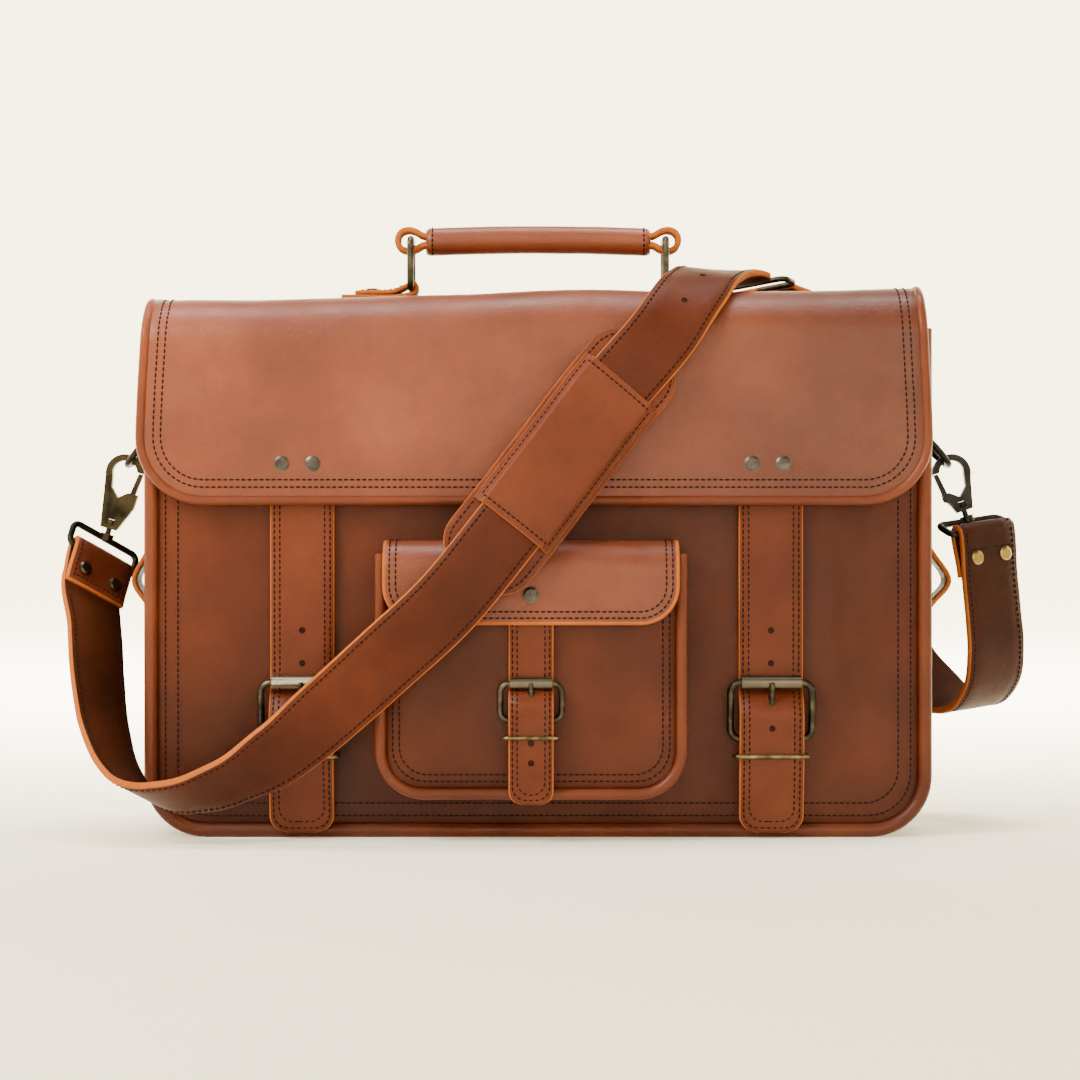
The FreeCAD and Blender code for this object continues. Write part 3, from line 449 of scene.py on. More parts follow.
class Strip:
    """Flat leather strip along a centre line, with a width direction at every point.

    Its grain side is away from along x side; s runs along it and a across it, in millimetres.
    """

    def __init__(self, centres, sides, width, thick):
        self.centres, self.width, self.thick = centres, width, thick
        self.sides, self.grain, self.places = [], [], running(centres)
        last = len(centres) - 1
        for n, side in enumerate(sides):
            along = (centres[min(n + 1, last)] - centres[max(n - 1, 0)]).normalized()
            side = (side - along * side.dot(along)).normalized()
            self.sides.append(side)
            self.grain.append(side.cross(along).normalized())
        self.length = self.places[-1]

    @classmethod
    def through(cls, stations, width, thick, spacing=4.0):
        """Smooth strip through (centre, side) stations."""
        centres = [Vector(c) for c, _ in stations]
        spans = running(centres)
        count = max(8, int(spans[-1] / spacing))
        line = smooth_path(centres, count)
        picked = []
        for n in range(count):
            k, t = locate(spans, spans[-1] * n / (count - 1))
            first, second = Vector(stations[k][1]).normalized(), Vector(stations[k + 1][1]).normalized()
            picked.append(first.lerp(second, ease(t)).normalized())
        for _ in range(3):
            picked = [(picked[max(i - 1, 0)] + picked[i] * 2 + picked[min(i + 1, count - 1)]).normalized()
                      for i in range(count)]
        return cls(line, picked, width, thick)

    def at(self, s, a=0.0, lift=0.0):
        """Point at s along and a across, lift above the middle of the thickness; and the grain normal."""
        k, t = locate(self.places, min(max(s, 0.0), self.length))
        centre = self.centres[k].lerp(self.centres[k + 1], t)
        side = self.sides[k].lerp(self.sides[k + 1], t).normalized()
        grain = self.grain[k].lerp(self.grain[k + 1], t).normalized()
        return centre + side * a + grain * (self.thick / 2 + lift), grain

    def mesh(self, name, face=None, back=None, tip_end=0.0, crown=0.25):
        """The strip as a solid with a slightly crowned face; tip_end rounds its far end."""
        half_t = self.thick / 2
        verts = []
        count = len(self.centres)
        for n in range(count):
            width, away = self.width, self.length - self.places[n]
            if away < tip_end:
                width *= 0.42 + 0.58 * math.sqrt(max(0.0, 1 - (1 - away / tip_end) ** 2))
            h = width / 2
            profile = [(-h + 0.6, half_t), (-h * 0.5, half_t + crown), (0, half_t + crown * 1.2),
                       (h * 0.5, half_t + crown), (h - 0.6, half_t), (h, half_t - 0.6), (h, -half_t + 0.5),
                       (h - 0.5, -half_t), (0, -half_t), (-h + 0.5, -half_t), (-h, -half_t + 0.5),
                       (-h, half_t - 0.6)]
            for a, f in profile:
                verts.append(self.centres[n] + self.sides[n] * a + self.grain[n] * f)
        kinds = [0, 0, 0, 0, 1, 1, 1, 2, 2, 1, 1, 1]
        faces = ring_faces(count, 12) + end_caps(count, 12)
        slots = kinds * (count - 1) + [1, 1]
        return build(name, verts, faces, [face or SHADED_STRAP, EDGE, back or FLESH], slots)

    def sew(self, stitches, inset, start=0.0, end=None, back=False):
        """Stitches along both edges between two places on the strip."""
        end = self.length if end is None else end
        lift, facing = (-self.thick - SEAM_LIFT, -1) if back else (SEAM_LIFT, 1)
        for sign in (-1, 1):
            found = [self.at(s, sign * (self.width / 2 - inset), lift)
                     for s in steps(start, end, max(4, int((end - start) / 2)))]
            stitches.row([p for p, _ in found], [n * facing for _, n in found])

    def sew_line(self, stitches, flat):
        """Stitches along (a, s) points."""
        stitches.follow([self.at(s, a, SEAM_LIFT) for a, s in flat])

    def hole(self, s, radius=1.7):
        """A punched hole: a sunk disc with a pressed rim; its dark colour is painted shade for the hole's
        inside.
        """
        point, normal = self.at(s)
        side = normal.orthogonal().normalized()
        up = normal.cross(side)
        verts = []
        for r, lift in ((radius * 1.3, 0.25), (radius, 0.50), (radius * 0.9, 0.38), (0.01, 0.36)):
            for k in range(16):
                t = math.pi * k / 8
                verts.append(point + (side * math.cos(t) + up * math.sin(t)) * r + normal * lift)
        return verts, ring_faces(4, 16), [0] * 16 + [1] * 32


def join_parts(name, chunks, materials):
    verts, faces, slots = [], [], []
    for v, f, s in chunks:
        base = len(verts)
        verts += v
        faces += [tuple(i + base for i in face) for face in f]
        slots += s
    return build(name, verts, faces, materials, slots)


# ------------------------------------------------------------------ shell of the bag


# Soft folds in the front panel: points along each valley, its depth and its half width.
FRONT_FOLDS = (
    (((160, 215), (161, 170), (160, 120), (164, 84), (174, 56), (184, 40)), 1.7, 6.5),
    (((176, 62), (186, 48), (188, 36)), 0.7, 2.2),
    (((-158, 90), (-166, 62), (-176, 44)), 1.0, 6.0),
    (((-176, 200), (-172, 150), (-175, 110)), 0.9, 7.0),
    (((92, 100), (88, 60), (94, 34)), 0.9, 6.0),
)


def fold_depth(x, z):
    """How far the folds push the panel in at x, z, less the low swell beside each of them."""
    total = 0.0
    for line, depth, half in FRONT_FOLDS:
        best = None
        for n, ((x0, z0), (x1, z1)) in enumerate(zip(line, line[1:])):
            run = (x1 - x0) ** 2 + (z1 - z0) ** 2
            t = clamp(((x - x0) * (x1 - x0) + (z - z0) * (z1 - z0)) / run)
            away = math.hypot(x - x0 - t * (x1 - x0), z - z0 - t * (z1 - z0))
            if best is None or away < best[0]:
                best = (away, (n + t) / (len(line) - 1))
        away, share = best
        fade = math.sin(math.pi * (0.12 + 0.76 * share))
        swell = 0.35 * math.exp(-((away - 2 * half) / half) ** 2)
        total += depth * fade * (math.exp(-(away / half) ** 2) - swell)
    return total


PANEL_HALF, PANEL_LOW, PANEL_TOP, PANEL_CORNER = 196, 7, 262, 25


def panel_form(x, z):
    """Distance from the panel's edge, and how far the place is toward its domed middle, 0 to 1."""
    edge = min(PANEL_HALF - abs(x), z - PANEL_LOW)
    up = clamp((z - PANEL_LOW) / (PANEL_TOP - PANEL_LOW))
    return edge, max(0.0, 1 - (x / PANEL_HALF) ** 2) * math.sin(math.pi * up)


def front_y(x, z):
    edge, dome = panel_form(x, z)
    dents = wobble(x, 3, z, 62, 0.55) + wobble(x, 9, z, 24, 0.22)
    flat = 1 - math.exp(-(max(edge - 12, 0) / 10) ** 2)
    return -54.0 + 1.3 * math.exp(-max(edge, 0) / 4.5) - 0.55 * dome + dents + fold_depth(x, z) * flat


def back_y(x, z):
    edge, dome = panel_form(x, z)
    return 54.0 - 1.3 * math.exp(-max(edge, 0) / 4.5) + 0.5 * dome + wobble(x, 40, z, 60, 0.45)


def panel_rows(low, corner, top, count=46):
    rows = [low + corner * (1 - math.cos(math.pi / 2 * n / 12)) for n in range(13)]
    return rows + steps(low + corner, top, count)[1:]


def closer_at_ends(count):
    """Places from -1 to 1 that stand closer together toward both ends."""
    return [0.5 * (math.sin(math.pi / 2 * u) + u) for u in steps(-1, 1, count)]


def moved_in(line, n, inward):
    """(x, z) of the outline's point n, moved inward at right angles to the outline."""
    x, z = line[n]
    (x0, z0), (x1, z1) = line[max(n - 1, 0)], line[min(n + 1, len(line) - 1)]
    size = math.hypot(x1 - x0, z1 - z0)
    return x - (z1 - z0) / size * inward, z + (x1 - x0) / size * inward


def shell():
    across = closer_at_ends(61)
    rows = panel_rows(PANEL_LOW, PANEL_CORNER, PANEL_TOP)
    thread = Stitches()
    for name, deep, sign in (("front_panel", front_y, 1), ("back_panel", back_y, -1)):
        def point(u, z, deep=deep, sign=sign):
            x = sign * u * u_half(z, PANEL_HALF, PANEL_LOW, PANEL_CORNER)
            return x, deep(x, z), z
        piece = sheet("shell_" + name, point, across, rows, 2.2, [BODY, LINING, EDGE])
        hide_for(piece, "bag", "shell_leather", name)
        for inset in (4.0, 10.5):
            flat = u_line(PANEL_HALF - inset, PANEL_LOW + inset, PANEL_TOP - 1, PANEL_CORNER - inset * 0.7)
            points = [Vector((x, deep(x, z) - sign * SEAM_LIFT, z)) for x, z in flat]
            thread.row(points, Vector((0, -sign, 0)))
    line = u_line(200, 0, PANEL_TOP, 32, step=5)

    def gusset_point(y, n):
        x, z = line[n]
        side_share = clamp((z - 15) / 120)
        inward = (1 - (y / 50) ** 2) * (0.6 + 3.6 * side_share) + wobble(x, y, z, 40, 0.5) * side_share
        inward += 1.2 * math.exp(-((y - 1.5) / 5) ** 2) * clamp((z - 215) / 45)
        x, z = moved_in(line, n, inward)
        return x, y, z

    gusset = sheet("shell_gusset", gusset_point, steps(-50.4, 50.4, 19), range(len(line)), 2.2,
                   [BODY, LINING, EDGE])
    hide_for(gusset, "bag", "shell_leather", "gusset")
    hide_for(thread.make("shell_stitches"), "bag", "shell_leather")


# ------------------------------------------------------------------ flap


class FoldedSheet:
    """Flap whose outside follows a (y, z) line from its sewn margin, over and down the front.

    x is across it and s along the line. half(s) is its half width above the rounded lower corners, and
    relief(x, s, y, z) gives how far a place is raised and how far it swells outward.
    """

    def __init__(self, line, centre, below, half, corner, relief):
        self.line = [Vector((0, y, z)) for y, z in line]
        self.places = running(self.line)
        self.end = self.places[-1] - below
        self.centre, self.straight, self.corner, self.relief = centre, half, corner, relief

    def half(self, s):
        return self.straight(s) - corner_cut(self.end - s, self.corner)

    def at(self, x, s, lift=0.0):
        """Point of the flap's outside, lift above it; and the outward normal."""
        k, t = locate(self.places, s)
        point = self.line[k].lerp(self.line[k + 1], t)
        along = self.line[min(k + 2, len(self.line) - 1)] - self.line[max(k - 1, 0)]
        normal = Vector((0, along.z, -along.y)).normalized()
        rise, swell = self.relief(x, s, point.y, point.z)
        return Vector((x, point.y, point.z + rise)) + normal * (swell + lift), normal

    def rows(self, count, corner_rows):
        """Values of s for the sheet, closer together round the lower corners."""
        start = self.end - self.corner
        round_off = [start + self.corner * math.sin(math.pi / 2 * n / corner_rows)
                     for n in range(1, corner_rows + 1)]
        return steps(0, start, count) + round_off

    def hem(self, out, start, counts):
        """(x, s) places down one side, round the corner, along the bottom and back, out beyond the edge."""
        down, turn, along = counts
        first = self.end - self.corner
        radius, base = self.corner + out, self.end + out
        wide = self.straight(first - 1) + out
        left = [(self.centre - self.straight(s) - out, s) for s in steps(start, first, down)]
        left += [(self.centre - wide + radius - radius * math.cos(a), base - radius + radius * math.sin(a))
                 for a in steps(0, math.pi / 2, turn)[1:]]
        x = left[-1][0]
        low = [(x, base) for x in steps(x, 2 * self.centre - x, along)[1:-1]]
        return left + low + [(2 * self.centre - x, s) for x, s in left[::-1]]


def flap_line():
    """(y, z) points of the flap's outside, from the sewn margin up, over the top and down the front."""
    points = [(58.5, z) for z in steps(212, 266, 14)]
    points += [(44.8 + 13.7 * math.cos(a), 268 + 13.5 * math.sin(a)) for a in steps(0.05, math.pi / 2, 9)]
    points += [(y, 281.5) for y in steps(44.8, -39.5, 22)[1:]]
    radius = 25.5
    points += [(-39.5 + radius * math.cos(a), 256 + radius * math.sin(a))
               for a in steps(math.pi / 2, math.pi, 14)[1:]]
    points += [(-65.0, z) for z in steps(256, 160, 34)[1:]]
    return points


def flap_straight(s):
    """Half width of the flat flap at s, without its rolled edge and its corners."""
    return 196.0 + 3.4 * ease(clamp((s - 170) / 90))


def flap_relief(x, s, y, z):
    """The flap's upper front edge rises toward the right, and its hanging part swells a little."""
    fore = clamp((10 - y) / 45) * clamp((z - 235) / 40)
    rise = 3.0 * x / 190 + 2.3 * math.exp(-((x - 8) / 62) ** 2) - 1.1 + wobble(x, 2, 0, 55, 0.8)
    hang = clamp((262 - z) / 50) if y < -40 else 0
    swell = hang * (0.9 * (1 - (x / 210) ** 2) + wobble(x, 1, z, 70, 0.7))
    return rise * fore, swell + wobble(x, y, z, 28, 0.18)


FLAP_FOLD_S = 54.0
BIG_FLAP = FoldedSheet(flap_line(), -2.0, 175.5 - 160, flap_straight, 30, flap_relief)


def make_flap():
    def point(u, s):
        return BIG_FLAP.at(BIG_FLAP.centre - u * BIG_FLAP.half(s), s)[0]

    piece = sheet("flap_sheet", point, steps(-1, 1, 81), BIG_FLAP.rows(110, 12), 2.6, [FLAP, FLESH, EDGE])
    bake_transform(piece)
    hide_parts("flap", "flap_back_margin")

    hem = BIG_FLAP.hem(2.2, FLAP_FOLD_S + 1, (90, 14, 70))
    roll_piece = tube("flap_rolled_edge", [BIG_FLAP.at(x, s, -1.4)[0] for x, s in hem], 2.6, [WELT])
    hide_for(roll_piece, "flap", "welt_leather", "flap_edge_roll")

    thread = Stitches()
    for inset in (4.5, 8.3):
        hem = BIG_FLAP.hem(-inset, FLAP_FOLD_S + 4, (110, 12, 120))
        thread.follow([BIG_FLAP.at(x, s, SEAM_LIFT) for x, s in hem])
    hide_for(thread.make("flap_stitches"), "flap", "flap_leather")
    margin = Stitches()
    for s in (4, 8):
        margin.row([BIG_FLAP.at(x, s, SEAM_LIFT)[0] for x in steps(-190, 190, 90)], Vector((0, 1, 0)))
    hide_for(margin.make("flap_margin_stitches"), "bag", "flap_leather")


# ------------------------------------------------------------------ front straps


CHAPE_T = 2.2
CHAPE_GAP = 0.3
WIRE_GAP = 0.1


def front_strap(cx, face, bar_z, roller_z, width, wire, top, tip_z, chape_low, thick):
    """Strips of one buckle's strap and chape, built outward from a flat face."""
    bar_o = CHAPE_GAP + CHAPE_T + WIRE_GAP + wire
    over_o = bar_o + wire + WIRE_GAP + CHAPE_T
    middle = over_o + 0.4 + thick / 2
    behind = 1.1 + thick / 2
    drop = roller_z - bar_z
    path = top + [
        (behind + 0.1, roller_z + 4), (behind + 0.3, roller_z - 0.13 * drop),
        (behind + 4.9, roller_z - 0.31 * drop), (middle + 0.5, roller_z - 0.53 * drop),
        (middle + 0.7, bar_z + 0.25 * drop), (middle, bar_z), (middle, bar_z - 13),
        (middle - 1.2, bar_z - 23), (middle - 3.4, bar_z - 34), (middle - 4.2, tip_z + 4),
        (middle - 4.2, tip_z)]
    line = smooth_path([Vector((cx, face - o, z)) for o, z in path], 110)
    strip = Strip(line, [Vector((-1, 0, 0))] * len(line), width, thick)
    loop = wire + WIRE_GAP + CHAPE_T / 2
    chape_path = [(CHAPE_GAP + CHAPE_T / 2, chape_low), (CHAPE_GAP + CHAPE_T / 2, bar_z)]
    chape_path += [(bar_o - loop * math.cos(a), bar_z + loop * math.sin(a)) for a in steps(0, math.pi, 9)[1:]]
    low_o = CHAPE_GAP + CHAPE_T * 1.5 + WIRE_GAP
    chape_path += [(bar_o + loop, bar_z - 9), (low_o, bar_z - 22), (low_o, chape_low)]
    points = [Vector((cx, face - o, z)) for o, z in chape_path]
    return strip, Strip.through([(p, (-1, 0, 0)) for p in points], width - 0.8, CHAPE_T, 1.6)


def buckle_cut(name, piece, cx, bar_y, bar_z):
    """Slot in the chape for the prong's eye."""
    verts, faces = [], []
    for x in (-2.2, 2.2):
        for y in (-9, 9):
            for z in (-4.6, 12):
                verts.append((cx + x, bar_y + y, bar_z + z))
    faces = [(0, 1, 3, 2), (4, 6, 7, 5), (0, 4, 5, 1), (2, 3, 7, 6), (0, 2, 6, 4), (1, 5, 7, 3)]
    cutter = build("cutter_" + name, verts, faces, [EDGE])
    mod = piece.modifiers.new("slot", "BOOLEAN")
    mod.object = cutter
    mod.solver = "EXACT"
    mod.use_self = True
    baked(piece)
    bpy.data.objects.remove(cutter)
    if not piece.data.polygons:
        raise RuntimeError(name + " chape is empty after its slot is cut")


def place_at_height(strip, z):
    """Distance along the strip of its point nearest to a height."""
    n = min(range(len(strip.centres)), key=lambda i: abs(strip.centres[i].z - z))
    return strip.places[n]


def strap_and_chape(name, thread, body, node, tip, insets, holes, cx, face, bar_z, roller_z, wire, **form):
    strip, back = front_strap(cx, face, bar_z, roller_z, wire=wire, **form)
    piece = strip.mesh(name + "_strap_leather", face=BELT, tip_end=tip)
    hide_for(piece, body, "strap_leather", node)
    chunks = [strip.hole(place_at_height(strip, z)) for z in holes]
    slit_z = roller_z - 0.32 * (roller_z - bar_z)
    chunks.append(strip.hole(place_at_height(strip, slit_z), radius=1.9))
    hide_for(join_parts(name + "_strap_holes", chunks, [BELT, HOLE_SHADE]), body, "strap_leather")
    corner = 7
    for inset in insets:
        half, end = strip.width / 2 - inset, strip.length - inset * 1.2
        flat = [(-half, s) for s in steps(2, end - corner, 120)]
        flat += [(-half + corner - corner * math.cos(a), end - corner + corner * math.sin(a))
                 for a in steps(0, math.pi / 2, 8)[1:]]
        flat += [(x, end) for x in steps(-half + corner, half - corner, 6)[1:-1]] if half > 7.5 else []
        flat += [(-x, s) for x, s in flat[::-1] if x < -0.5]
        strip.sew_line(thread, flat)
    chape = back.mesh(name + "_chape_leather", crown=0.1)
    buckle_cut(name, chape, cx, face - (CHAPE_GAP + CHAPE_T + WIRE_GAP + wire), bar_z)
    hide_for(chape, "bag", "strap_leather", name + "_chape")


def straps_and_chapes():
    thread = Stitches()
    for name, cx in (("left", -121.0), ("right", 119.5)):
        strap_and_chape(
            name, thread, "flap", name + "_front_strap", tip=9, insets=(2.2, 5.0), holes=(107.5, 89.0, 57.5),
            cx=cx, face=-55.0, bar_z=51.0, roller_z=80.0, width=33.0, wire=1.8, thick=3.0, tip_z=3.0,
            chape_low=9.0, top=[(5.3, 204), (5.3, 186), (4.2, 178), (3.6, 160), (3.0, 110)])
    hide_for(thread.make("front_strap_stitches"), "flap", "strap_leather")
    thread = Stitches()
    strap_and_chape(
        "pocket", thread, "pocket_flap", "pocket_strap", tip=7, insets=(1.9, 4.3), holes=(51.0, 42.0),
        cx=POCKET_X, face=-84.0, bar_z=62.5, roller_z=81.0, width=22.6, wire=1.5, thick=2.4, tip_z=20.0,
        chape_low=31.0, top=[(3.75, 135), (3.75, 122), (3.4, 110), (3.0, 100)])
    hide_for(thread.make("pocket_strap_stitches"), "pocket_flap", "strap_leather")


# ------------------------------------------------------------------ pocket


POCKET_X = -3.5
POCKET_HALF, POCKET_LOW, POCKET_CORNER = 73.5, 27.6, 19.2


def pocket_y(x, z):
    edge = max(min(POCKET_HALF - abs(x - POCKET_X), z - POCKET_LOW), 0)
    puff = math.exp(-edge / 7)
    return -84.3 + 2.6 * puff + wobble(x, 0, z, 34, 0.5) + wobble(x, 5, z, 90, 0.5)


def pocket_line():
    """(y, z) points of the pocket flap's outside, from its sewn margin over the front."""
    front = -90.5 - 1.25
    bend = 16.25
    points = [(-56.15, z) for z in steps(140.5, 148.3, 4)]
    points += [(-60.4 + 4.25 * math.cos(a), 148.5 + 4.25 * math.sin(a)) for a in steps(0.1, math.pi / 2, 6)]
    points += [(front + bend + bend * math.cos(a), 152.75 - bend + bend * math.sin(a))
               for a in steps(math.pi / 2, math.pi, 12)]
    return points + [(front, z) for z in steps(136.5, 100, 16)[1:]]


def pocket_relief(x, s, y, z):
    swell = wobble(x, 4, s, 40, 0.5) - 0.5 * (abs(x - POCKET_X) / 75) ** 4
    return 0.0, clamp((s - 30) / 30) * swell


SMALL_FLAP = FoldedSheet(pocket_line(), POCKET_X, 110.8 - 100, lambda s: 74.2, 19, pocket_relief)


def pocket():
    def point(u, z):
        x = POCKET_X + u * u_half(z, POCKET_HALF, POCKET_LOW, POCKET_CORNER)
        return x, pocket_y(x, z), z

    rows = panel_rows(POCKET_LOW, POCKET_CORNER, 146, 30)
    front = sheet("pocket_panel", point, closer_at_ends(41), rows, 2.0, [BODY, LINING, EDGE])
    hide_for(front, "bag", "shell_leather", "pocket_front")
    thread = Stitches()
    for inset in (3.6, 7.0):
        flat = u_line(POCKET_HALF - inset, POCKET_LOW + inset, 144, POCKET_CORNER - inset * 0.7, POCKET_X)
        thread.row([Vector((x, pocket_y(x, z) - SEAM_LIFT, z)) for x, z in flat], Vector((0, -1, 0)))
    hide_for(thread.make("pocket_stitches"), "bag", "shell_leather")
    line = u_line(76.3, 24.8, 146, 22, POCKET_X, step=4)

    def band(y, n):
        x, z = line[n]
        x, z = moved_in(line, n, 1.9 * (1 - ((y + 69) / 13.5) ** 2) + wobble(x, y, z, 22, 0.4))
        return x, y, z

    side = sheet("pocket_side", band, steps(-82, -56, 9), range(len(line)), 1.8, [BODY, LINING, EDGE])
    hide_for(side, "bag", "shell_leather", "pocket_gusset")

    rim = [SMALL_FLAP.at(x, s, -1.1)[0] for x, s in SMALL_FLAP.hem(-0.7, 14, (24, 10, 30))]
    hide_for(tube("pocket_flap_raw_edge", rim, 1.3, [EDGE], 10), "pocket_flap", "shell_leather")

    def flap_point(u, s):
        return SMALL_FLAP.at(POCKET_X - u * SMALL_FLAP.half(s), s)[0]

    flap = sheet("pocket_flap_leather", flap_point, steps(-1, 1, 41), SMALL_FLAP.rows(44, 10), 2.3,
                 [FLAP, FLESH, EDGE])
    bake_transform(flap)
    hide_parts("pocket_flap", "pocket_flap_margin")
    thread = Stitches()
    for inset in (3.0, 6.2):
        hem = SMALL_FLAP.hem(-inset, 13, (30, 9, 40))
        thread.follow([SMALL_FLAP.at(x, s, SEAM_LIFT) for x, s in hem])
    hide_for(thread.make("pocket_flap_stitches"), "pocket_flap", "shell_leather")


# ------------------------------------------------------------------ handle


def handle():
    verts = []
    ring_z, ring_y = 313.5, 4.0
    sides, half = 28, 60.0

    def rise_at(x):
        return 1.3 * (1 - (x / half) ** 2) - 0.6

    places = steps(-half, half, 61)
    for x in places:
        end = min(half - abs(x), 3.0) / 3.0
        swell = 0.86 + 0.14 * math.sqrt(max(0.0, 1 - (1 - end) ** 2))
        rise = rise_at(x)
        for k in range(sides):
            a = 2 * math.pi * k / sides
            c, s = math.cos(a), math.sin(a)
            seam = 0.5 * math.exp(-((a - 1.5 * math.pi) / 0.16) ** 2)
            r = (1 + wobble(x, c * 8, s * 8, 16, 0.02)) * swell
            verts.append((x, ring_y + 7.6 * c * r, ring_z + rise + (7.2 * r + seam) * s))
    faces = ring_faces(len(places), sides) + end_caps(len(places), sides)
    grip = build("handle_grip_leather", verts, faces, [GRIP])
    hide_for(grip, "handle", "pad_leather", "handle_grip")
    thread = Stitches()
    for x in (-56.5, 56.5):
        normals = [Vector((0, math.cos(a), math.sin(a))) for a in steps(0, 2 * math.pi, 41)]
        thread.follow([(Vector((x, ring_y + 7.65 * n.y, ring_z + rise_at(x) + 7.25 * n.z)), n)
                       for n in normals], pitch=2.9, size=2.1)
    hide_for(thread.make("handle_stitches"), "handle", "pad_leather")
    chunks = []
    for sign in (-1, 1):
        half_loop = [(58.5, 2.0), (62.0, 2.7), (65.2, 4.6), (69.0, 5.6), (72.8, 4.6), (74.8, 1.8)]
        stations = [(sign * x, z) for x, z in half_loop] + [(sign * x, -z) for x, z in half_loop[::-1]]
        points = [(Vector((x, ring_y, ring_z - 0.2 + z)), (0, 1, 0)) for x, z in stations]
        chunks.append(Strip.through(points, 13.0, 3.0, 1.5).mesh("loop", face=EDGE, back=EDGE))
    hide_for(merged("handle_end_loops", chunks), "handle", "raw_leather", "handle_core")
    tabs = []
    low = 281.8
    thread = Stitches()
    turn = 3.1
    for sign in (-1, 1):
        cx = sign * 68.0
        arc = [(cx - sign * turn * math.sin(a), 287.6 - turn * math.cos(a))
               for a in steps(0.15, math.pi - 0.35, 7)]
        points = [(sign * 105, low + 1.2), (sign * 90, low + 1.2), (sign * 77, low + 1.2)] + arc
        points += [(sign * 74, low + 5.2), (sign * 80, low + 3.7), (sign * 98, low + 3.6)]
        stations = [(Vector((x, 4.0, z)), (0, -sign, 0)) for x, z in points]
        strip = Strip.through(stations, 15.0, 2.3, 1.6)
        tabs.append(strip.mesh("tab", crown=0.1, tip_end=6))
        strip.sew(thread, 2.2, strip.length - 27, strip.length - 3)
    hide_for(merged("handle_tab_leather", tabs), "flap", "strap_leather", "handle_tabs")
    hide_for(thread.make("handle_tab_stitches"), "flap", "strap_leather")


def merged(name, objects):
    """Joins mesh objects of the same materials into one."""
    chunks = []
    mats = list(objects[0].data.materials)
    for obj in objects:
        mesh = obj.data
        verts = [v.co / MM for v in mesh.vertices]
        faces = [tuple(p.vertices) for p in mesh.polygons]
        chunks.append((verts, faces, [p.material_index for p in mesh.polygons]))
        bpy.data.objects.remove(obj)
    return join_parts(name, chunks, mats)


# ------------------------------------------------------------------ sides


def sides():
    strips, thread = [], Stitches()
    for sign in (-1, 1):
        bar = Vector((sign * 205.0, 0, 208.5))
        r = 3.1
        arc = [(bar.x - sign * r * math.cos(a), bar.z + r * math.sin(a))
               for a in steps(0, math.pi * 0.92, 9)]
        inner = sign * 201.7
        points = [(inner, 168), (inner, 180), (inner, 196), (inner + sign * 0.1, 206)] + arc[1:]
        points += [(inner + sign * 4.4, 198), (inner + sign * 2.9, 188), (inner + sign * 2.6, 181)]
        stations = [(Vector((x, 0, z)), (0, -sign, 0)) for x, z in points]
        tab = Strip.through(stations, 19.0, 2.2, 1.6)
        strips.append(tab.mesh("tab", crown=0.1))
        apex = 214.6 if sign < 0 else 218.2
        middle = (apex + 201.6) / 2
        loop_path = [(201.6, 166), (201.8, 158), (middle, 145.5), (apex, 131.5), (middle, 120),
                     (201.8, 110), (201.6, 99)]
        stations = [(Vector((sign * x, 0, z)), (0, sign, 0)) for x, z in loop_path]
        loop = Strip.through(stations, 24.0, 2.4, 2.0)
        strips.append(loop.mesh("loop", crown=0.1))
        loop.sew(thread, 3.0, 1, 12)
        loop.sew(thread, 3.0, loop.length - 12, loop.length - 1)
    hide_for(merged("side_tab_leather", strips), "bag", "strap_leather", "d_ring_tabs", "side_loops")
    hide_for(thread.make("side_tab_stitches"), "bag", "strap_leather")


# ------------------------------------------------------------------ shoulder strap
# Stations are a centre point and the direction of the strap's width, as the solid strap has them.
LEFT_DROP = [
    ((-232.0, -31.5, 105.0), (0.66, 0.66, -0.36)),
    ((-229.0, -43.0, 84.0), (0.64, 0.72, -0.26)),
    ((-224.0, -56.0, 60.0), (0.58, 0.79, -0.20)),
    ((-216.5, -69.0, 42.0), (0.50, 0.84, -0.22)),
]
FRONT_RUN = [
    ((-206.5, -78.8, 29.6), (0.46, 0.84, -0.26)),
    ((-197.0, -85.5, 24.5), (0.32, 0.87, -0.36)),
    ((-180.0, -91.0, 24.0), (0.10, 0.86, -0.50)),
    ((-156.0, -93.0, 31.0), (0.08, 0.72, -0.68)),
    ((-130.0, -93.0, 46.0), (0.30, 0.46, -0.83)),
    ((-104.0, -94.5, 68.0), (0.52, 0.26, -0.81)),
    ((-75.0, -99.5, 94.0), (0.64, 0.14, -0.75)),
    ((-45.0, -103.0, 122.0), (0.70, 0.06, -0.71)),
    ((-16.0, -100.5, 157.5), (0.72, 0.0, -0.69)),
    ((11.0, -89.5, 192.5), (0.72, 0.0, -0.69)),
    ((37.0, -79.0, 227.0), (0.72, 0.0, -0.69)),
    ((61.5, -73.0, 255.5), (0.76, -0.06, -0.64)),
    ((76.5, -62.5, 277.0), (0.84, -0.28, -0.46)),
    ((87.5, -41.5, 290.5), (0.88, -0.40, -0.22)),
    ((96.5, -18.5, 293.5), (0.90, -0.42, -0.02)),
    ((104.0, 3.0, 294.0), (0.88, -0.46, 0.08)),
    ((113.5, 21.5, 292.5), (0.86, -0.49, 0.12)),
]
BACK_RUN = [
    ((125.6, 41.5, 289.0), (0.84, -0.52, 0.14)),
    ((143.5, 61.0, 280.0), (0.90, -0.32, 0.20)),
    ((152.5, 68.5, 258.0), (0.95, -0.10, 0.28)),
    ((162.0, 72.0, 210.0), (0.96, 0.0, 0.26)),
    ((174.0, 74.0, 165.0), (0.95, 0.02, 0.30)),
    ((188.0, 75.5, 122.0), (0.92, 0.06, 0.38)),
    ((204.0, 73.5, 89.0), (0.84, 0.30, 0.43)),
    ((217.0, 66.7, 74.1), (0.78, 0.50, 0.38)),
]
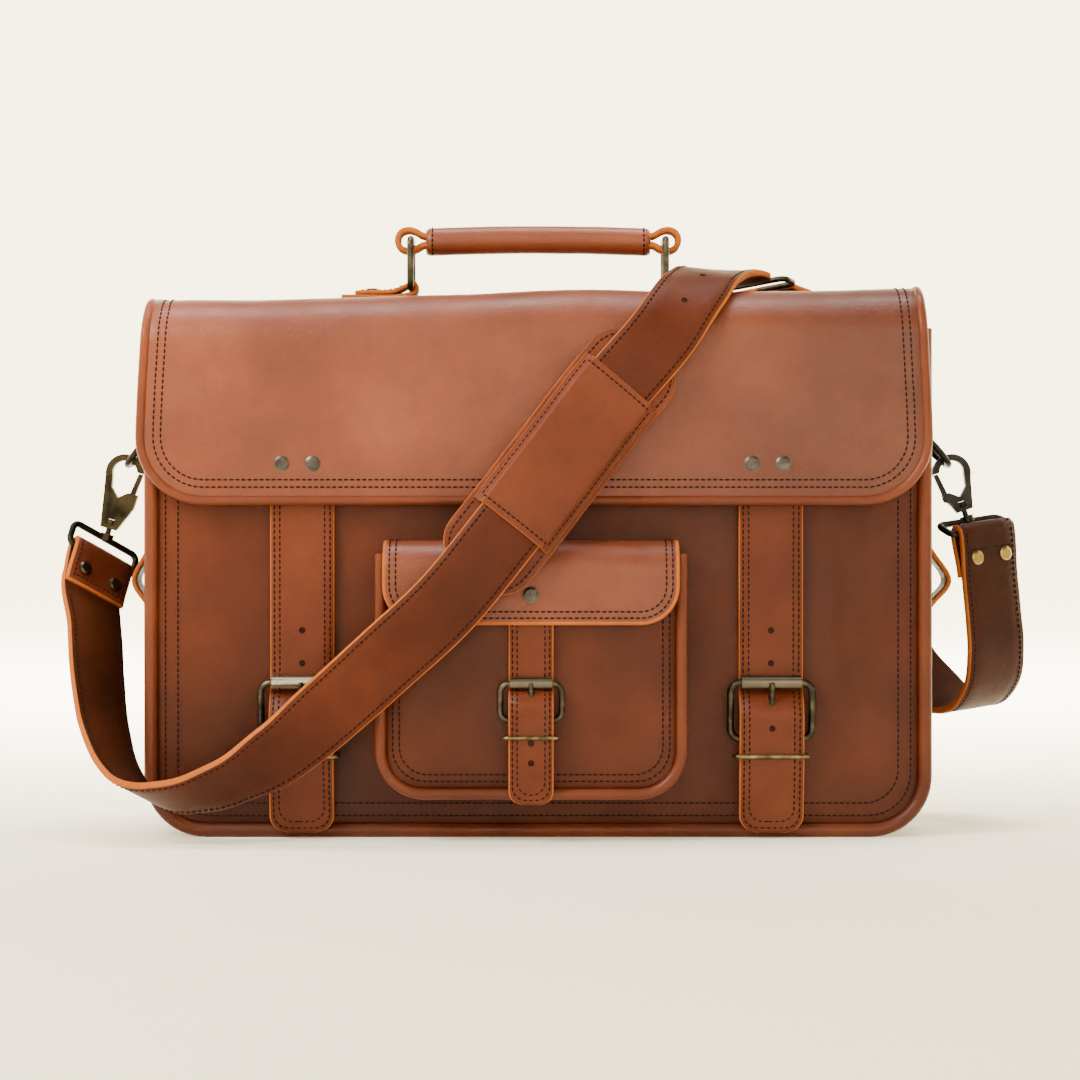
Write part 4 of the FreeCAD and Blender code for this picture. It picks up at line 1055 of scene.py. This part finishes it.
RIGHT_DROP = [
    ((229.0, 49.0, 63.0), (0.79, 0.59, 0.18)),
    ((238.6, 27.0, 64.0), (0.83, 0.55, 0.06)),
    ((244.0, 7.0, 77.0), (0.87, 0.48, 0.06)),
    ((244.0, -4.5, 95.0), (0.87, 0.48, 0.09)),
    ((242.2, -9.0, 112.0), (0.86, 0.49, 0.11)),
]
STRAP_W = 36.0
STRAP_T = 3.4


def ring_bar(top, base, across, lean):
    """Middle of the swivel ring's lower bar, from the hook's eye, its post and the way the ring leans."""
    up = (Vector(top) - Vector(base)).normalized()
    across, lean = Vector(across).normalized(), Vector(lean)
    down = (lean - across * across.dot(lean)).normalized()
    return Vector(base) - up * 4.0 + down * 12.8, across


def end_fold(bar, across, hang, toward):
    """Stations from the short end, up over the bar and down its other side to the long strap."""
    along = (Vector(hang) - across * across.dot(Vector(hang))).normalized()
    normal = across.cross(along)
    if normal.dot(Vector(toward)) < 0:
        normal = -normal
    r = 3.65
    places = [(23, 2.3), (15, 2.4), (7, 3.3)]
    places += [(-r * math.sin(a), r * math.cos(a)) for a in steps(0.1, math.pi - 0.1, 7)]
    places += [(7, -3.3), (15, -2.2), (24, -1.0)]
    return [(bar + along * down + normal * out, tuple(across)) for down, out in places]


def shoulder_strap():
    left_bar, left_across = ring_bar(
        (-218.4, 0, 196.8), (-230, 0, 157.2), across=(0.735, 0.5, -0.46), lean=(-0.25, -0.6, -0.75))
    right_bar, right_across = ring_bar(
        (218.2, 0, 196.8), (228.5, 0, 166.8), across=(0.86, 0.49, 0.12), lean=(0, -0.92, -0.40))
    left_fold = end_fold(left_bar, left_across, (0.1, -0.5, -1), (0, -1, 0))
    right_fold = end_fold(right_bar, right_across, (0.12, 0, -1), (0, 1, 0))
    under = [(Vector((122.5, 35.5, 289.6)), (0.84, -0.53, 0.12))]

    front = Strip.through(left_fold + LEFT_DROP + FRONT_RUN, STRAP_W, STRAP_T, 3.0)
    rear = Strip.through(under + BACK_RUN + RIGHT_DROP + right_fold[::-1], STRAP_W, STRAP_T, 3.0)
    front_piece = front.mesh("shoulder_strap_long", back=STRAP_BACK, tip_end=12)
    rear_piece = rear.mesh("shoulder_strap_short", back=STRAP_BACK)
    front_thread, rear_thread = Stitches(), Stitches()
    front.sew(front_thread, 3.0, 2, front.length - 8)
    rear.sew(rear_thread, 3.0, 2, rear.length - 2)
    front.sew(front_thread, 3.0, 62, 190, back=True)
    front.sew_line(front_thread, [(a, 3.5) for a in steps(-14, 14, 16)])
    above_rivets = place_near(rear, right_fold[-3][0]) - 1.0
    rear.sew_line(rear_thread, [(a, above_rivets) for a in steps(-14, 14, 16)])
    front_sewn = front_thread.make("shoulder_strap_long_stitches")
    rear_sewn = rear_thread.make("shoulder_strap_short_stitches")
    for piece in (front_piece, front_sewn):
        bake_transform(piece)
    for piece in (rear_piece, rear_sewn):
        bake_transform(piece)
    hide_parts("strap_front_run", "strap_left_drop", "strap_end_folds")
    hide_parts("strap_back_run", "strap_right_drop")
    holes = [front.hole(front.length - d) for d in (50, 75, 100)]
    hide_for(join_parts("shoulder_strap_holes", holes, [SHADED_STRAP, HOLE_SHADE]), "strap_front", "strap_leather")
    return front


def place_near(strip, target):
    """Distance along the strip of its point nearest to target."""
    target = Vector(target)
    best = min(range(len(strip.centres)), key=lambda n: (strip.centres[n] - target).length)
    return strip.places[best]


def pad(strip):
    low = place_near(strip, (-16.0, -100.5, 157.5))
    high = place_near(strip, (37.0, -79.0, 227.0))
    s0, s1 = low - 28, high + 33
    corner = 17

    def half(s):
        return 25.0 - corner_cut(min(s - s0, s1 - s), corner)

    rows = [s0 + corner * (1 - math.cos(math.pi / 2 * n / 8)) for n in range(9)]
    rows += steps(s0 + corner, s1 - corner, 34)[1:-1]
    rows += [s1 - corner * (1 - math.cos(math.pi / 2 * n / 8)) for n in range(8, -1, -1)]
    floor = -STRAP_T - 0.35

    def base_point(u, s):
        wide = half(s)
        rim = max(0.0, 1 - (wide - abs(u) * wide) / 5)
        return strip.at(s, u * wide, floor + 0.5 * rim + wobble(u * 3, s / 10, 0, 1.2, 0.12))[0]

    base = sheet("shoulder_pad_base", base_point, closer_at_ends(21), rows, 3.2, [PAD, FLESH, EDGE])
    hide_for(base, "strap_front", "pad_leather", "shoulder_pad")
    t0, t1, wide = low + 5, high + 9, 23.2

    def sleeve_point(u, s):
        a = u * wide
        over = ease(1 - clamp((abs(a) - STRAP_W / 2 - 0.4) / 3.2))
        crown = 0.7 * math.cos(math.pi / 2 * min(abs(a) / 19, 1))
        lift = floor + 1.9 + over * (STRAP_T + 0.3) + crown * over + wobble(u * 2, s / 14, 7, 1, 0.16)
        return strip.at(s, a, lift)[0]

    sleeve = sheet("shoulder_pad_sleeve", sleeve_point, steps(-1, 1, 41), steps(t0, t1, 46), 1.7,
                   [PAD, FLESH, EDGE])
    hide_for(sleeve, "strap_front", "pad_leather", "pad_sleeve")
    thread = Stitches()
    inset = 3.0
    edge = [(-(half(s) - inset), s) for s in rows if s0 + inset < s < s1 - inset and half(s) > inset + 2]
    places = edge + [(-a, s) for a, s in edge[::-1]] + edge[:1]
    thread.follow([strip.at(s, a, floor + 0.15) for a, s in places])
    for s in (t0 + 3.2, t1 - 3.2):
        across_row = [Vector(sleeve_point(u, s)) for u in steps(-0.86, 0.86, 30)]
        thread.row(across_row, strip.at(s)[1])
    for sign in (-1, 1):
        edge = [Vector(sleeve_point(sign * 0.90, s)) for s in steps(t0 + 3.2, t1 - 3.2, 40)]
        thread.row(edge, strip.at((t0 + t1) / 2)[1])
    hide_for(thread.make("shoulder_pad_stitches"), "strap_front", "pad_leather")


# ------------------------------------------------------------------ carried-over hardware


def repaint(node, mat, bevel):
    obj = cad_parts[node]
    if not obj.material_slots:
        obj.data.materials.append(mat)
    for slot in obj.material_slots:
        slot.link = "OBJECT"
        slot.material = mat
    if bevel:
        add_modifier(obj, "BEVEL", width=bevel * MM, segments=3, limit_method="ANGLE", angle_limit=0.7)


# Material and bevel in millimetres of each metal or plain part that keeps its CAD shape.
PAINT = (
    (BRONZE, 0.0, ("left_buckle_frame", "right_buckle_frame", "pocket_buckle_frame", "left_buckle_prong",
                   "right_buckle_prong", "pocket_buckle_prong", "left_handle_ring", "right_handle_ring",
                   "strap_adjuster")),
    (ROLLER, 0.3, ("left_buckle_roller",)),
    (BRONZE, 0.3, ("right_buckle_roller", "pocket_buckle_roller")),
    (BRASS, 0.0, ("left_keeper", "right_keeper", "pocket_keeper")),
    (HOOK, 1.1, ("left_hook", "right_hook")),
    (HOOK, 0.4, ("left_hook_gate", "right_hook_gate")),
    (HOOK, 0.0, ("left_swivel_ring", "right_swivel_ring", "left_d_ring", "right_d_ring")),
    (GUNMETAL, 0.25, ("flap_rivets", "pocket_rivet")),
    (RIVETS, 0.25, ("side_rivets",)),
    (WELT, 0.0, ("front_piping", "back_piping", "pocket_piping")),
    (BOARD, 0.4, ("base_board",)),
    (LINING, 0.4, ("divider",)),
    (LINING, 0.3, ("inner_pocket",)),
)


def hardware():
    for mat, bevel, nodes in PAINT:
        for node in nodes:
            repaint(node, mat, bevel)


# ------------------------------------------------------------------ stage


def stage():
    look = Look("pale_floor")
    pale = look.ramp(look.noise(40, 3, 0.5), [(0.3, (0.93, 0.87, 0.72)), (0.7, (0.95, 0.89, 0.74))])
    look.set("Base Color", pale)
    look.set("Roughness", 0.9)
    look.set("Emission Color", (1.0, 0.90, 0.68))
    # the floor glows more toward the back, which gives the picture its pale background
    glow = look.node("MapRange", Value=look.place("Y"), From_Min=0.1, From_Max=1.0, To_Min=0.26, To_Max=3.4)
    look.set("Emission Strength", glow.outputs["Result"])
    verts, faces = [Vector((0, 0, 0))], []
    profile = [(200, 0), (600, 0), (1200, 0), (2400, 0), (3600, 0), (4000, 50), (4300, 250), (4500, 600),
               (4600, 4000)]
    around = 64
    for r, z in profile:
        verts += [(r * math.cos(a), r * math.sin(a), z) for a in steps(0, 2 * math.pi, around + 1)[:-1]]
    for k in range(around):
        j = (k + 1) % around
        faces.append((0, 1 + k, 1 + j))
        for n in range(len(profile) - 1):
            inner, outer = 1 + n * around, 1 + (n + 1) * around
            faces.append((inner + k, outer + k, outer + j, inner + j))
    floor = build("studio_floor", verts, faces, [look.mat])

    world = bpy.data.worlds.new("studio")
    world.use_nodes = True
    sky = world.node_tree.nodes["Background"]
    sky.inputs["Color"].default_value = (1.0, 0.975, 0.92, 1)
    sky.inputs["Strength"].default_value = 0.13
    bpy.context.scene.world = world
    wide_open = math.pi
    for name, place, size, power, target, spread in (
            ("key", (-0.85, -0.82, 1.05), 0.6, 29, (-0.05, 0, 0.17), wide_open),
            ("fill", (0.4, -1.8, 0.45), 1.2, 11, (0, 0, 0.12), wide_open),
            ("top", (0.0, -0.1, 1.4), 1.0, 9, (0, 0, 0.1), wide_open),
            ("back", (0.0, 0.9, 2.1), 2.0, 120, (0, 1.6, 0.3), 1.3)):
        lamp = bpy.data.lights.new(name, "AREA")
        lamp.shape = "SQUARE"
        lamp.size = size
        lamp.energy = power
        lamp.spread = spread
        lamp.color = (1.0, 0.975, 0.94)
        obj = bpy.data.objects.new(name, lamp)
        obj.location = place
        obj.rotation_euler = (Vector(target) - Vector(place)).to_track_quat("-Z", "Y").to_euler()
        bpy.context.scene.collection.objects.link(obj)

    camera = bpy.data.cameras.new("camera")
    distance, across = 1.40, 0.554
    camera.sensor_width = 36
    camera.lens = 36 * distance / across
    obj = bpy.data.objects.new("camera", camera)
    obj.location = (0.001, -0.06 - distance, 0.153)
    obj.rotation_euler = (math.pi / 2, 0, 0)
    bpy.context.scene.collection.objects.link(obj)
    bpy.context.scene.camera = obj


def main():
    shell()
    make_flap()
    straps_and_chapes()
    pocket()
    handle()
    sides()
    strap = shoulder_strap()
    pad(strap)
    hardware()
    stage()


main()
